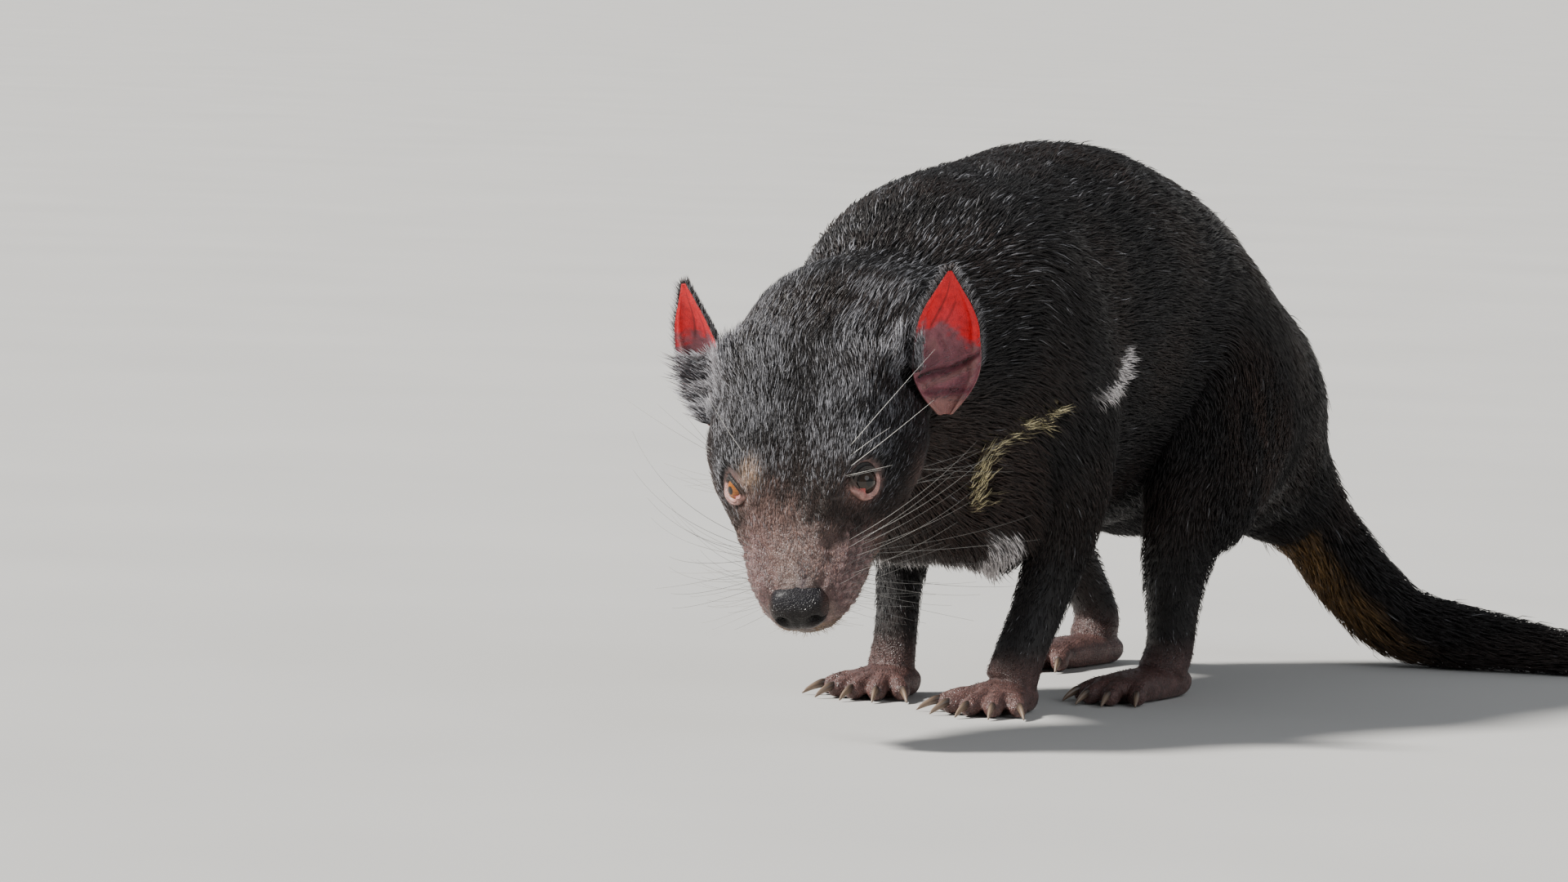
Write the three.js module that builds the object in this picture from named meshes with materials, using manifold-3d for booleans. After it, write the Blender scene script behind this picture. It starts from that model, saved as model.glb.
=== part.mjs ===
// A Tasmanian devil walking with its head lowered and turned a little to its left, life size.
// Millimetres, +Z up. The animal faces -Y and its left side is +X. The floor is Z = 0.
import * as THREE from "three";
import { mergeVertices } from "three/addons/utils/BufferGeometryUtils.js";
import Module from "manifold-3d";

const wasm = await Module();
wasm.setup();

// Driving dimensions
const gap = 0.3; // between touching pieces
const floorLevel = 0;
const torsoTop = 300; // height of the arched back
const headLength = 160; // nape to nose
const tailThickness = 25; // half the tail's thickness at its root
const toeRadius = 5.6;
const toeHeight = 6.8; // middle of a toe at its root, above the floor
const clawLength = { fore: 13, hind: 11 };
const eyeRadius = 8.2;
const earLength = 76; // from the lobe to the tip
const skinTone = { coat: 0x17130f, bare: 0x6b4640, ear: 0xc04a44, nose: 0x1c1413, claw: 0x4a3d33, eye: 0x120a06 };

const vec = (x, y, z) => new THREE.Vector3(x, y, z);
const degrees = THREE.MathUtils.degToRad;

// Head pose: the head faces its own -Y, with its own origin at the nape
const headPose = { at: [18.5, -245, 192], yaw: 27.5, pitch: 47, roll: -9 };
const headMatrix = new THREE.Matrix4().compose(
  vec(...headPose.at),
  new THREE.Quaternion().setFromEuler(
    new THREE.Euler(degrees(headPose.pitch), degrees(headPose.roll), degrees(headPose.yaw), "ZXY"),
  ),
  vec(1, 1, 1),
);

// Solids

// A geometry with shared vertices as a solid, turned outwards.
function solidOf(geometry) {
  const bare = new THREE.BufferGeometry();
  bare.setAttribute("position", geometry.getAttribute("position").clone());
  if (geometry.index) bare.setIndex(geometry.index.clone());
  const merged = mergeVertices(bare, 1e-4);
  const make = (triVerts) =>
    new wasm.Manifold(
      new wasm.Mesh({ numProp: 3, vertProperties: new Float32Array(merged.attributes.position.array), triVerts }),
    );
  const corners = new Uint32Array(merged.index.array);
  const made = make(corners);
  return made.volume() > 0 ? made : make(corners.reverse());
}

const joined = (solids) => solids.reduce((whole, piece) => whole.add(piece));

// The largest closed surface of a solid: fills a sealed hollow and drops loose scraps.
const largest = (solid) => solid.decompose().reduce((a, b) => (a.volume() > b.volume() ? a : b));

// The part of a solid on the side of a plane that its normal points to, half a gap away from it.
function beyond(solid, point, normal) {
  const n = normal.clone().normalize();
  return solid.trimByPlane([n.x, n.y, n.z], n.dot(point) + gap / 2);
}

const aboveFloor = (solid) => solid.trimByPlane([0, 0, 1], floorLevel);

// A solid moved by a three.js matrix.
const moved = (solid, matrix) => solid.transform([...matrix.elements]);

// Tubes: closed skins through sections along a curve

// A smooth run through rows of three numbers, sampled at a row number that may lie between rows.
function runThrough(rows) {
  const curve = new THREE.CatmullRomCurve3(rows.map((r) => vec(...r)), false, "catmullrom", 0.5);
  return (row) => curve.getPoint(row / (rows.length - 1));
}

// A tube's frame at a row number. Each station is { at: centre, half: [side, up, down], side: axis }.
function frameOf(stations, straight = vec(1, 0, 0)) {
  const centre = runThrough(stations.map((s) => s.at));
  const half = runThrough(stations.map((s) => s.half));
  const sideways = runThrough(stations.map((s) => s.side ?? straight.toArray()));
  const last = stations.length - 1;
  return (row) => {
    const step = 0.02;
    const along = centre(Math.min(row + step, last)).sub(centre(Math.max(row - step, 0))).normalize();
    const side = sideways(row);
    side.addScaledVector(along, -side.dot(along)).normalize();
    return { centre: centre(row), half: half(row), side, up: vec(0, 0, 0).crossVectors(side, along) };
  };
}

// A point of a tube's skin: power 2 is an ellipse and more is squarer; relief raises the skin.
function skinPoint(frame, row, angle, { power = 2.2, relief = () => 0, grow = 0 } = {}) {
  const { centre, half, side, up } = frame(row);
  const bend = (value) => Math.sign(value) * Math.abs(value) ** (2 / power);
  const across = bend(Math.cos(angle));
  const rise = bend(Math.sin(angle));
  const ray = vec(0, 0, 0).addScaledVector(side, half.x * across);
  ray.addScaledVector(up, (rise > 0 ? half.y : half.z) * rise);
  const reach = ray.length();
  return centre.addScaledVector(ray, (reach + relief(row, angle) + grow) / reach);
}

// Row numbers of a tube's rings: each span between stations is cut into the given number of steps.
function ringRows(count, perSpan) {
  const rows = [0];
  for (let span = 0; span < count - 1; span++) {
    const steps = Array.isArray(perSpan) ? perSpan[span] : perSpan;
    for (let k = 1; k <= steps; k++) rows.push(span + k / steps);
  }
  return rows;
}

// Rings of points joined into a closed skin with a fan at each end.
function skinOfRings(rings) {
  const sides = rings[0].length;
  const middle = (ring) => ring.reduce((sum, p) => sum.add(p), vec(0, 0, 0)).divideScalar(sides);
  const points = rings.flat().concat([middle(rings[0]), middle(rings.at(-1))]);
  const startHub = points.length - 2;
  const corners = [];
  for (let i = 0; i < rings.length - 1; i++)
    for (let j = 0; j < sides; j++) {
      const [a, b] = [i * sides + j, i * sides + ((j + 1) % sides)];
      corners.push(a, b, b + sides, a, b + sides, a + sides);
    }
  const lastRing = (rings.length - 1) * sides;
  for (let j = 0; j < sides; j++) {
    const next = (j + 1) % sides;
    corners.push(startHub, next, j, startHub + 1, lastRing + j, lastRing + next);
  }
  const geometry = new THREE.BufferGeometry().setFromPoints(points);
  geometry.setIndex(corners);
  return geometry;
}

function tube(stations, { perSpan = 3, sides = 16, straight, ...shape } = {}) {
  const frame = frameOf(stations, straight);
  const rings = ringRows(stations.length, perSpan).map((row) =>
    Array.from({ length: sides }, (_, j) => skinPoint(frame, row, (2 * Math.PI * j) / sides, shape)),
  );
  return solidOf(skinOfRings(rings));
}

// Spine: one smooth form from the muzzle to the root of the tail

// Head stations: distance from the nape, height of the section's centre, half width, up and down
const headSections = [
  [headLength - 1, -16, 9, 9, 9],
  [headLength - 5, -16, 17, 14.5, 17],
  [headLength - 12, -15, 22, 18.5, 24],
  [headLength - 23, -13, 26, 21, 30],
  [headLength - 38, -11, 30.5, 25, 35],
  [headLength - 52, -8, 37, 31, 40],
  [headLength - 66, -6, 43.5, 37, 46],
  [headLength - 86, -4, 50.5, 42, 50],
  [headLength - 112, -3, 56.5, 44, 51],
  [headLength - 138, -4, 58.5, 45, 53],
];

// Body stations: across, back, height, half width, up, down
const bodySections = [
  [21, -230, 198, 54, 41, 62],
  [17, -192, 202, 55, 47, 82],
  [9, -143, 204, 69, 71, 114],
  [1, -92, 205, 80, 82, 127],
  [-6, -35, 203, 85, 91, 122],
  [-9, 30, 202, 86, torsoTop - 202, 117],
  [-10, 95, 192, 86, 88, 110],
  [-4, 155, 168, 77, 68, 100],
  [3, 200, 138, 66, 62, 72],
  [12, 230, 113, 46, 42, 44],
  [21, 250, 97, 29, 26, 28],
];

const headLeft = vec(1, 0, 0).transformDirection(headMatrix).toArray();
const spineStations = [
  ...headSections.map(([from, rise, ...half]) => ({
    at: vec(0, -from, rise).applyMatrix4(headMatrix).toArray(),
    half,
    side: headLeft,
  })),
  ...bodySections.map(([x, y, z, ...half]) => ({ at: [x, y, z], half })),
];
// Swellings and hollows: row, angle from the left side upwards, spread in rows and in degrees, height.
// Each is mirrored to the right side.
const swellings = [
  { what: "whisker pad", row: 3.4, angle: -8, rows: 1.2, turn: 34, height: 2.2 },
  { what: "brow", row: 6.15, angle: 50, rows: 0.75, turn: 17, height: 3.4 },
  { what: "hollow before the eye", row: 4.9, angle: 32, rows: 0.7, turn: 20, height: -2.2 },
  { what: "cheek arch", row: 7.2, angle: -8, rows: 0.9, turn: 20, height: 3.4 },
  { what: "temple", row: 8.0, angle: 32, rows: 0.8, turn: 18, height: -2.4 },
  { what: "jaw muscle", row: 8.0, angle: -42, rows: 1.1, turn: 26, height: 2.4 },
  { what: "crown muscle", row: 8.0, angle: 68, rows: 1.3, turn: 16, height: 2.4 },
  { what: "lip corner", row: 6.6, angle: -24, rows: 0.6, turn: 14, height: -1.6 },
  { what: "hollow behind the cheek", row: 8.95, angle: 12, rows: 0.62, turn: 24, height: -12 },
  { what: "mound before the ear", row: 8.35, angle: 46, rows: 0.4, turn: 12, height: 3.5 },
  { what: "breast", row: 12.9, angle: -60, rows: 0.9, turn: 20, height: 14 },
];

function spineRelief(row, angle) {
  const mirrored = Math.atan2(Math.sin(angle), Math.abs(Math.cos(angle)));
  return swellings.reduce((sum, bump) => {
    const rows = (row - bump.row) / bump.rows;
    const turn = (mirrored - degrees(bump.angle)) / degrees(bump.turn);
    return sum + bump.height * Math.exp(-rows * rows - turn * turn);
  }, 0);
}

const spineSpans = [1, 1, 2, 2, 2, 2, 2, 2, 1, 1, ...Array(bodySections.length - 1).fill(2)];
const spineShape = { perSpan: spineSpans, sides: 28, power: 2.15, relief: spineRelief };
const spine = tube(spineStations, spineShape);
const spineGrown = tube(spineStations, { ...spineShape, grow: gap });
const spineFrame = frameOf(spineStations);

// Head

const headPoint = (row, angle, lift = 0) => skinPoint(spineFrame, row, angle, { ...spineShape, grow: lift });

// The line of the mouth: row of the head and degrees below the side, from the chin to the corner
const mouthLine = runThrough([
  [0.25, -90, 0],
  [1, -54, 0],
  [2, -38, 0],
  [3, -35, 0],
  [4, -34, 0],
  [5.2, -30, 0],
  [6.4, -23, 0],
]);

// A small tube along the mouth, from one corner under the nose to the other.
function mouthTube(lift, shift, halfAcross, halfDeep) {
  const steps = 9;
  const stations = [];
  for (let k = -steps; k <= steps; k++) {
    const { x: row, y: below } = mouthLine((6 * Math.abs(k)) / steps);
    const angle = degrees(k < 0 ? 180 - below : below);
    const tilt = k < 0 ? -degrees(shift) : degrees(shift);
    const at = headPoint(row, angle + tilt, lift);
    const outwards = at.clone().sub(spineFrame(row).centre).normalize();
    const taper = 1 - 0.55 * (Math.abs(k) / steps) ** 3;
    stations.push({ at: at.toArray(), half: [halfDeep * taper, halfAcross, halfAcross], side: outwards.toArray() });
  }
  return tube(stations, { perSpan: 1, sides: 6, power: 2 });
}

const toHead = headMatrix.clone().invert();
const inHead = (x, y, z) => vec(x, y, z).applyMatrix4(headMatrix);

// Eyes: centre in the head's frame, and the way the eye looks
const eyes = ["left", "right"].map((name, k) => {
  const hand = k ? -1 : 1;
  return {
    name,
    centre: inHead(hand * 30, -(headLength - 65), 12),
    look: vec(hand * 0.79, -0.47, 0.39).transformDirection(headMatrix),
    slant: vec(hand * 0.5, 0.87, -0.02).transformDirection(headMatrix),
  };
});

const ball = (radius, detail) => new THREE.SphereGeometry(radius, detail, Math.round(detail * 0.7));

// A ball, cylinder or other geometry set at a point with its Y axis along a direction.
function setAlong(geometry, at, direction, slant) {
  const y = direction.clone().normalize();
  const x = slant.clone().addScaledVector(y, -slant.dot(y)).normalize();
  const z = vec(0, 0, 0).crossVectors(x, y);
  return geometry.applyMatrix4(new THREE.Matrix4().makeBasis(x, y, z).setPosition(at));
}

const lid = { thickness: 1.9, openLong: 8, openHigh: 6 };

function withLids(head) {
  return eyes.reduce((whole, { centre, look, slant }) => {
    const dome = ball(eyeRadius + lid.thickness, 14).translate(centre.x, centre.y, centre.z);
    const slit = new THREE.CylinderGeometry(1, 0.75, 2 * eyeRadius, 14).scale(lid.openLong, 1, lid.openHigh);
    slit.translate(0, 1.35 * eyeRadius, 0);
    const socket = ball(eyeRadius + gap, 14).translate(centre.x, centre.y, centre.z);
    return whole
      .add(solidOf(dome))
      .subtract(solidOf(setAlong(slit, centre, look, slant)))
      .subtract(solidOf(socket));
  }, head);
}

// Nose pad: a rounded block at the end of the muzzle with two nostrils and a cleft
const nose = { halfWidth: 16.5, halfHeight: 10.8, halfDepth: 9.2, from: headLength - 3.5, rise: -9.5 };

function nosePad(grow) {
  const pad = new THREE.SphereGeometry(1, 18, 10);
  const places = pad.getAttribute("position");
  for (let i = 0; i < places.count; i++) {
    const p = vec(0, 0, 0).fromBufferAttribute(places, i);
    const squared = [p.x, p.y, p.z].map((v) => Math.sign(v) * Math.abs(v) ** 0.8);
    const narrowing = 1 - 0.16 * (1 - squared[2]) * 0.5;
    places.setXYZ(
      i,
      squared[0] * (nose.halfWidth * narrowing + grow),
      squared[1] * (nose.halfDepth + grow) + 2.2 * squared[2],
      squared[2] * (nose.halfHeight + grow),
    );
  }
  return solidOf(pad.translate(0, -nose.from, nose.rise).applyMatrix4(headMatrix));
}

function nostrils() {
  const cuts = [-1, 1].map((hand) => {
    const hole = ball(1, 12).scale(3.1, 7, 2.7).rotateZ(hand * 0.5);
    const slit = ball(1, 10).scale(5.4, 6, 1.2).rotateY(hand * 0.35);
    const front = -(nose.from + nose.halfDepth);
    return joined([
      solidOf(hole.translate(hand * 0.48 * nose.halfWidth, front + 1.2, nose.rise - 0.8)),
      solidOf(slit.translate(hand * 0.76 * nose.halfWidth, front + 4, nose.rise - 2.8)),
    ]);
  });
  const cleft = new THREE.BoxGeometry(0.7, 6, 10).translate(0, -(nose.from + nose.halfDepth), nose.rise - 6);
  return moved(joined([...cuts, solidOf(cleft)]), headMatrix);
}

// Ears: root, tip and the way the cup opens, in the head's frame
const ears = [
  { name: "left", root: [64, -28, -13], tip: [75, 17, 52], open: [0.45, -0.8, 0.42] },
  { name: "right", root: [-59.5, -26, -13], tip: [-66.5, 19, 49], open: [-0.6, -0.7, 0.36] },
];
// Rows of half width, depth of the cup and thickness, from the lobe to the tip
const earOutline = [
  [4, 2, 2.8],
  [12, 7, 2.5],
  [17, 10, 2.2],
  [18.4, 10.5, 2],
  [17.6, 9.5, 1.9],
  [16.2, 7.5, 1.7],
  [13.6, 5, 1.6],
  [9.4, 2.5, 1.4],
  [1.8, 0.3, 1.3],
];
// The ear's fleshy base, a rounded block behind the cup: half sizes, and its place up and behind the root
const earBase = { wide: 12.5, high: 17, deep: 10, up: 19, behind: 17 };

function earShell({ root, tip, open }) {
  const shape = runThrough(earOutline);
  const rows = 12;
  const columns = 8;
  const foot = inHead(...root);
  const axis = inHead(...tip).sub(foot);
  axis.setLength(earLength);
  const facing = vec(...open).transformDirection(headMatrix);
  facing.addScaledVector(axis, -facing.dot(axis) / axis.lengthSq()).normalize();
  const across = vec(0, 0, 0).crossVectors(axis, facing).normalize();
  const rings = [];
  for (let i = 0; i <= rows; i++) {
    const { x: halfWidth, y: depth, z: thickness } = shape((i / rows) * (earOutline.length - 1));
    const centre = foot.clone().addScaledVector(axis, i / rows - 0.06);
    const face = (v, side) => {
      const normal = across.clone().multiplyScalar((-2 * depth * v) / halfWidth).add(facing).normalize();
      const rim = 0.35 + 0.65 * Math.sqrt(1 - v * v);
      return centre
        .clone()
        .addScaledVector(across, halfWidth * v)
        .addScaledVector(facing, -depth * (1 - v * v))
        .addScaledVector(normal, (side * thickness * rim) / 2);
    };
    const ring = [];
    for (let j = 0; j <= columns; j++) ring.push(face(-1 + (2 * j) / columns, 1));
    for (let j = columns; j >= 0; j--) ring.push(face(-1 + (2 * j) / columns, -1));
    rings.push(ring);
  }
  const base = ball(1, 12).scale(earBase.wide, earBase.high, earBase.deep);
  const baseAt = foot.clone().addScaledVector(facing, -earBase.behind);
  baseAt.addScaledVector(axis, earBase.up / earLength);
  return solidOf(skinOfRings(rings)).add(solidOf(setAlong(base, baseAt, axis, across)));
}

// Legs: rows of across, back, height, half width, back and front, from the trunk to the foot

const legs = [
  {
    name: "left",
    fore: true,
    path: [
      [38, -104, 232, 30, 34, 34],
      [55, -98, 190, 32, 42, 40],
      [62, -80, 150, 27, 37, 34],
      [62, -68, 116, 20.5, 29, 24],
      [57, -69, 84, 17, 21, 18.5],
      [53, -79, 54, 15, 15.5, 14.5],
      [50, -90, 31, 14.5, 13, 13],
      [48, -96, 15, 15.5, 12, 11],
    ],
    cuts: [3.55, 5.8],
    palm: { at: [47, -102], heading: 3, halfWidth: 18.5, length: 17 },
  },
  {
    name: "right",
    fore: true,
    path: [
      [-38, -100, 230, 30, 34, 34],
      [-57, -91, 186, 32, 42, 40],
      [-63, -69, 146, 27, 36, 33],
      [-59, -52, 114, 20, 28, 23],
      [-52, -50, 84, 16, 20, 18],
      [-46, -61, 54, 13, 14, 13],
      [-42, -69, 31, 12.5, 11.5, 11.5],
      [-41, -74, 15, 14, 11, 10],
    ],
    cuts: [3.55, 5.8],
    palm: { at: [-40, -80], heading: 4, halfWidth: 18, length: 17 },
  },
  {
    name: "left",
    fore: false,
    path: [
      [34, 136, 186, 32, 62, 56],
      [54, 108, 160, 34, 64, 58],
      [68, 68, 128, 28.5, 54, 45],
      [73, 40, 100, 22, 41, 29],
      [70, 36, 74, 18, 30, 23],
      [67, 40, 48, 14.5, 20, 18],
      [65, 42, 26, 13.5, 14, 14],
      [64, 36, 13, 14, 13, 13],
    ],
    cuts: [3.3, 5.6],
    palm: { at: [63, 20], heading: 3, halfWidth: 16, length: 35 },
  },
  {
    name: "right",
    fore: false,
    path: [
      [-34, 160, 178, 32, 58, 52],
      [-54, 146, 150, 34, 58, 54],
      [-68, 126, 122, 28, 48, 42],
      [-72, 120, 97, 21, 35, 28],
      [-68, 142, 73, 16.5, 21, 20],
      [-63, 165, 46, 13.5, 14, 15],
      [-60, 175, 26, 13.5, 12, 13],
      [-59, 169, 13, 14, 13, 13],
    ],
    cuts: [3.3, 5.6],
    palm: { at: [-57, 146], heading: -2, halfWidth: 16, length: 35 },
  },
];

// Toes: degrees from the foot's heading, and length as a share of the longest
const toeSets = {
  fore: [
    [-58, 0.8],
    [-27, 0.95],
    [0, 1],
    [27, 0.95],
    [56, 0.8],
  ],
  hind: [
    [-33, 0.9],
    [-11, 1],
    [11, 1],
    [33, 0.9],
  ],
};
const toeReach = 25; // from the front of the palm to the tip of the longest toe

const headingOf = (angle) => vec(Math.sin(degrees(angle)), -Math.cos(degrees(angle)), 0);

// The sole: a low pad from the heel to the roots of the toes.
function palmOf({ at, heading, halfWidth, length }) {
  const forward = headingOf(heading);
  const side = vec(0, 0, 0).crossVectors(forward, vec(0, 0, 1)).negate();
  const rows = [
    [-1.12, 0.35, 3, 3],
    [-1.0, 0.72, 8, 7],
    [-0.5, 0.86, 14, 8.5],
    [0.1, 0.94, 14.5, 9],
    [0.65, 1, 11, 8],
    [1.05, 0.9, 7.5, 6.5],
    [1.2, 0.55, 4, 4],
  ];
  return rows.map(([along, wide, up, down]) => ({
    at: vec(at[0], at[1], 8).addScaledVector(forward, along * length).toArray(),
    half: [halfWidth * wide, up, down],
    side: side.toArray(),
  }));
}

function toesOf({ at, heading, halfWidth, length }, set) {
  const forward = headingOf(heading);
  return set.map(([turn, share], k) => {
    const pointing = headingOf(heading + turn * 0.72);
    const side = vec(0, 0, 0).crossVectors(pointing, vec(0, 0, 1)).negate().toArray();
    const across = vec(0, 0, 0).crossVectors(forward, vec(0, 0, 1));
    const place = ((k + 0.5) / set.length - 0.5) * 2;
    const root = vec(at[0], at[1], toeHeight)
      .addScaledVector(forward, length * (0.92 - 0.42 * place * place))
      .addScaledVector(across, -place * (halfWidth - toeRadius * 0.7));
    const reach = toeReach * share;
    const rows = [
      [-0.3, 0, 0.85],
      [0.2, 1.6, 0.98],
      [0.5, 0.9, 0.92],
      [0.8, -1.9, 1],
      [0.97, -3.1, 0.72],
      [1.03, -3.4, 0.3],
    ];
    return {
      toe: rows.map(([along, rise, size]) => ({
        at: root.clone().addScaledVector(pointing, along * reach).add(vec(0, 0, rise)).toArray(),
        half: Array(3).fill(toeRadius * size),
        side,
      })),
      tip: root.clone().addScaledVector(pointing, 0.93 * reach).add(vec(0, 0, -1.4)),
      pointing,
      side,
    };
  });
}

function clawOf({ tip, pointing, side }, length) {
  const rows = [
    [-0.35, 0.3, 2.1, 2.6],
    [0.1, 0.9, 1.9, 2.5],
    [0.5, -0.7, 1.4, 1.8],
    [0.82, -2.8, 0.9, 1.1],
    [1, -4.4, 0.35, 0.4],
  ];
  const stations = rows.map(([along, rise, wide, high]) => ({
    at: tip.clone().addScaledVector(pointing, along * length).add(vec(0, 0, rise)).toArray(),
    half: [wide, high, high],
    side,
  }));
  return tube(stations, { perSpan: 1, sides: 6, power: 2 });
}

const nodes = new Map();

function buildLeg({ name, fore, path, cuts, palm }) {
  const words = fore ? ["upper_arm", "forearm", "forefoot", "fore_claw"] : ["thigh", "shank", "hind_foot", "hind_claw"];
  const stations = path.map(([x, y, z, ...half]) => ({ at: [x, y, z], half }));
  const whole = tube(stations, { perSpan: 2, sides: 16, power: 2.1 }).subtract(spineGrown);
  const frame = frameOf(stations);
  const planeAt = (row) => {
    const { centre, side, up } = frame(row);
    return [centre, vec(0, 0, 0).crossVectors(up, side)];
  };
  const [middlePoint, down] = planeAt(cuts[0]);
  const [anklePoint, footwards] = planeAt(cuts[1]);
  const upwards = (v) => v.clone().negate();
  const above = beyond(whole, middlePoint, upwards(down));
  const lower = beyond(beyond(whole, middlePoint, down), anklePoint, upwards(footwards));
  nodes.set(`${words[0]}_${name}`, { solid: above, tone: "coat" });
  nodes.set(`${words[1]}_${name}`, { solid: lower, tone: "coat" });
  const toes = toesOf(palm, toeSets[fore ? "fore" : "hind"]);
  const toeShape = { perSpan: 1, sides: 8, power: 2 };
  const pad = tube(palmOf(palm), { perSpan: 1, sides: 14, power: 2.3 });
  const ankle = beyond(whole, anklePoint, footwards);
  const foot = aboveFloor(joined([ankle, pad, ...toes.map(({ toe }) => tube(toe, toeShape))]));
  nodes.set(`${words[2]}_${name}`, { solid: foot.subtract(beyondGrown(lower)), tone: "bare" });
  toes.forEach((toe, k) => {
    const around = tube(toe.toe, { ...toeShape, grow: gap });
    const claw = clawOf(toe, fore ? clawLength.fore : clawLength.hind).subtract(around).subtract(foot);
    nodes.set(`${words[3]}_${name}_${k + 1}`, { solid: aboveFloor(claw), tone: "claw" });
  });
}

// A copy of a solid spread by the gap along each axis, to keep a neighbour clear of it.
function beyondGrown(solid) {
  const steps = [gap, -gap];
  const shifts = steps.flatMap((s) => [
    [s, 0, 0],
    [0, s, 0],
    [0, 0, s],
  ]);
  return joined(shifts.map((shift) => solid.translate(shift)));
}

// Tail: across, back, height, half width, up, down

const tailSections = [
  [12, 232, 118, 22, tailThickness - 5, tailThickness - 5],
  [21, 250, 97, 26.5, tailThickness - 0.5, tailThickness],
  [33, 266, 75, 26.5, tailThickness, tailThickness],
  [48, 281, 50, 26, tailThickness - 1, tailThickness],
  [67, 296, 29, 24, 22.5, 25],
  [93, 308, 21, 22, 20.5, 22.5],
  [123, 320, 17, 18.5, 17.5, 18],
  [153, 331, 13.5, 14.5, 14, 15],
  [182, 341, 10, 10, 9.5, 11],
  [206, 350, 6.5, 3.4, 3.2, 6.6],
];
const tailCuts = [3.6, 6.2];

function buildTail() {
  const stations = tailSections.map(([x, y, z, ...half]) => ({ at: [x, y, z], half, side: [0.9, -0.4, 0] }));
  const whole = aboveFloor(tube(stations, { perSpan: 2, sides: 14, power: 2.05 }).subtract(spineGrown));
  const frame = frameOf(stations);
  const planes = tailCuts.map((row) => {
    const along = frame(row + 0.05).centre.sub(frame(row - 0.05).centre);
    return [frame(row).centre, along];
  });
  const backwards = (v) => v.clone().negate();
  const [first, second] = planes;
  nodes.set("tail_root", { solid: beyond(whole, first[0], backwards(first[1])), tone: "coat" });
  nodes.set("tail_middle", {
    solid: beyond(beyond(whole, first[0], first[1]), second[0], backwards(second[1])),
    tone: "coat",
  });
  nodes.set("tail_tip", { solid: beyond(whole, second[0], second[1]), tone: "coat" });
}

// Head, neck and torso are cut from the spine form by two planes
function buildTrunk() {
  const napePlane = [inHead(0, 4, 0), vec(0, -1, 0.5).transformDirection(headMatrix)];
  const neckPlane = [vec(0, -146, 200), vec(0.05, -1, -0.12)];
  const away = (v) => v.clone().negate();
  const lips = [mouthTube(-0.5, 3.6, 1.7, 1.9), mouthTube(-0.6, -3.4, 1.6, 1.8)];
  const faced = withLids(joined([beyond(spine, ...napePlane), ...lips]));
  const head = faced.subtract(mouthTube(0.6, 0, 0.65, 3.4)).subtract(nosePad(gap));
  nodes.set("head", { solid: head, tone: "coat" });
  nodes.set("nose", { solid: nosePad(0).subtract(nostrils()), tone: "nose" });
  nodes.set("neck", {
    solid: beyond(beyond(spine, napePlane[0], away(napePlane[1])), ...neckPlane),
    tone: "coat",
  });
  nodes.set("torso", { solid: beyond(spine, neckPlane[0], away(neckPlane[1])), tone: "coat" });
  eyes.forEach(({ name, centre }) => {
    const eye = ball(eyeRadius, 14).translate(centre.x, centre.y, centre.z);
    nodes.set(`eye_${name}`, { solid: solidOf(eye), tone: "eye" });
  });
  ears.forEach((ear) => {
    nodes.set(`ear_${ear.name}`, { solid: earShell(ear).subtract(spineGrown), tone: "ear" });
  });
}

buildTrunk();
buildTail();
legs.forEach(buildLeg);

// Scene

const finishes = {
  coat: { roughness: 0.55, metalness: 0 },
  bare: { roughness: 0.6, metalness: 0 },
  ear: { roughness: 0.55, metalness: 0 },
  nose: { roughness: 0.3, metalness: 0 },
  claw: { roughness: 0.4, metalness: 0 },
  eye: { roughness: 0.05, metalness: 0 },
};
const materials = Object.fromEntries(
  Object.entries(finishes).map(([tone, finish]) => [
    tone,
    new THREE.MeshStandardMaterial({ color: skinTone[tone], ...finish }),
  ]),
);

// Pieces of the head are kept in its own frame, inside a group that poses the head.
const devil = new THREE.Group();
const headGroup = new THREE.Group();
headMatrix.decompose(headGroup.position, headGroup.quaternion, headGroup.scale);
devil.add(headGroup);

for (const [name, { solid, tone }] of nodes) {
  const ofHead = /^(head|nose|eye|ear)/.test(name);
  const kept = ofHead ? moved(largest(solid), toHead) : largest(solid);
  const { vertProperties, triVerts } = kept.getMesh();
  const geometry = new THREE.BufferGeometry();
  geometry.setAttribute("position", new THREE.BufferAttribute(new Float32Array(vertProperties), 3));
  geometry.setIndex(new THREE.BufferAttribute(new Uint32Array(triVerts), 1));
  geometry.computeVertexNormals();
  const mesh = new THREE.Mesh(geometry, materials[tone]);
  mesh.name = name;
  (ofHead ? headGroup : devil).add(mesh);
}

// The origin is on the floor, under the middle of the model's box.
const middle = new THREE.Box3().setFromObject(devil, true).getCenter(vec(0, 0, 0));
devil.position.set(-middle.x, -middle.y, 0);

export default devil;
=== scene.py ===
# A Tasmanian devil, life size: skin, coat, eyes, ears, nose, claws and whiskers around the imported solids.
# Blender works in metres. The sizes of the body below are in millimetres, in the solids' own modelling frame.
import math

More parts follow.
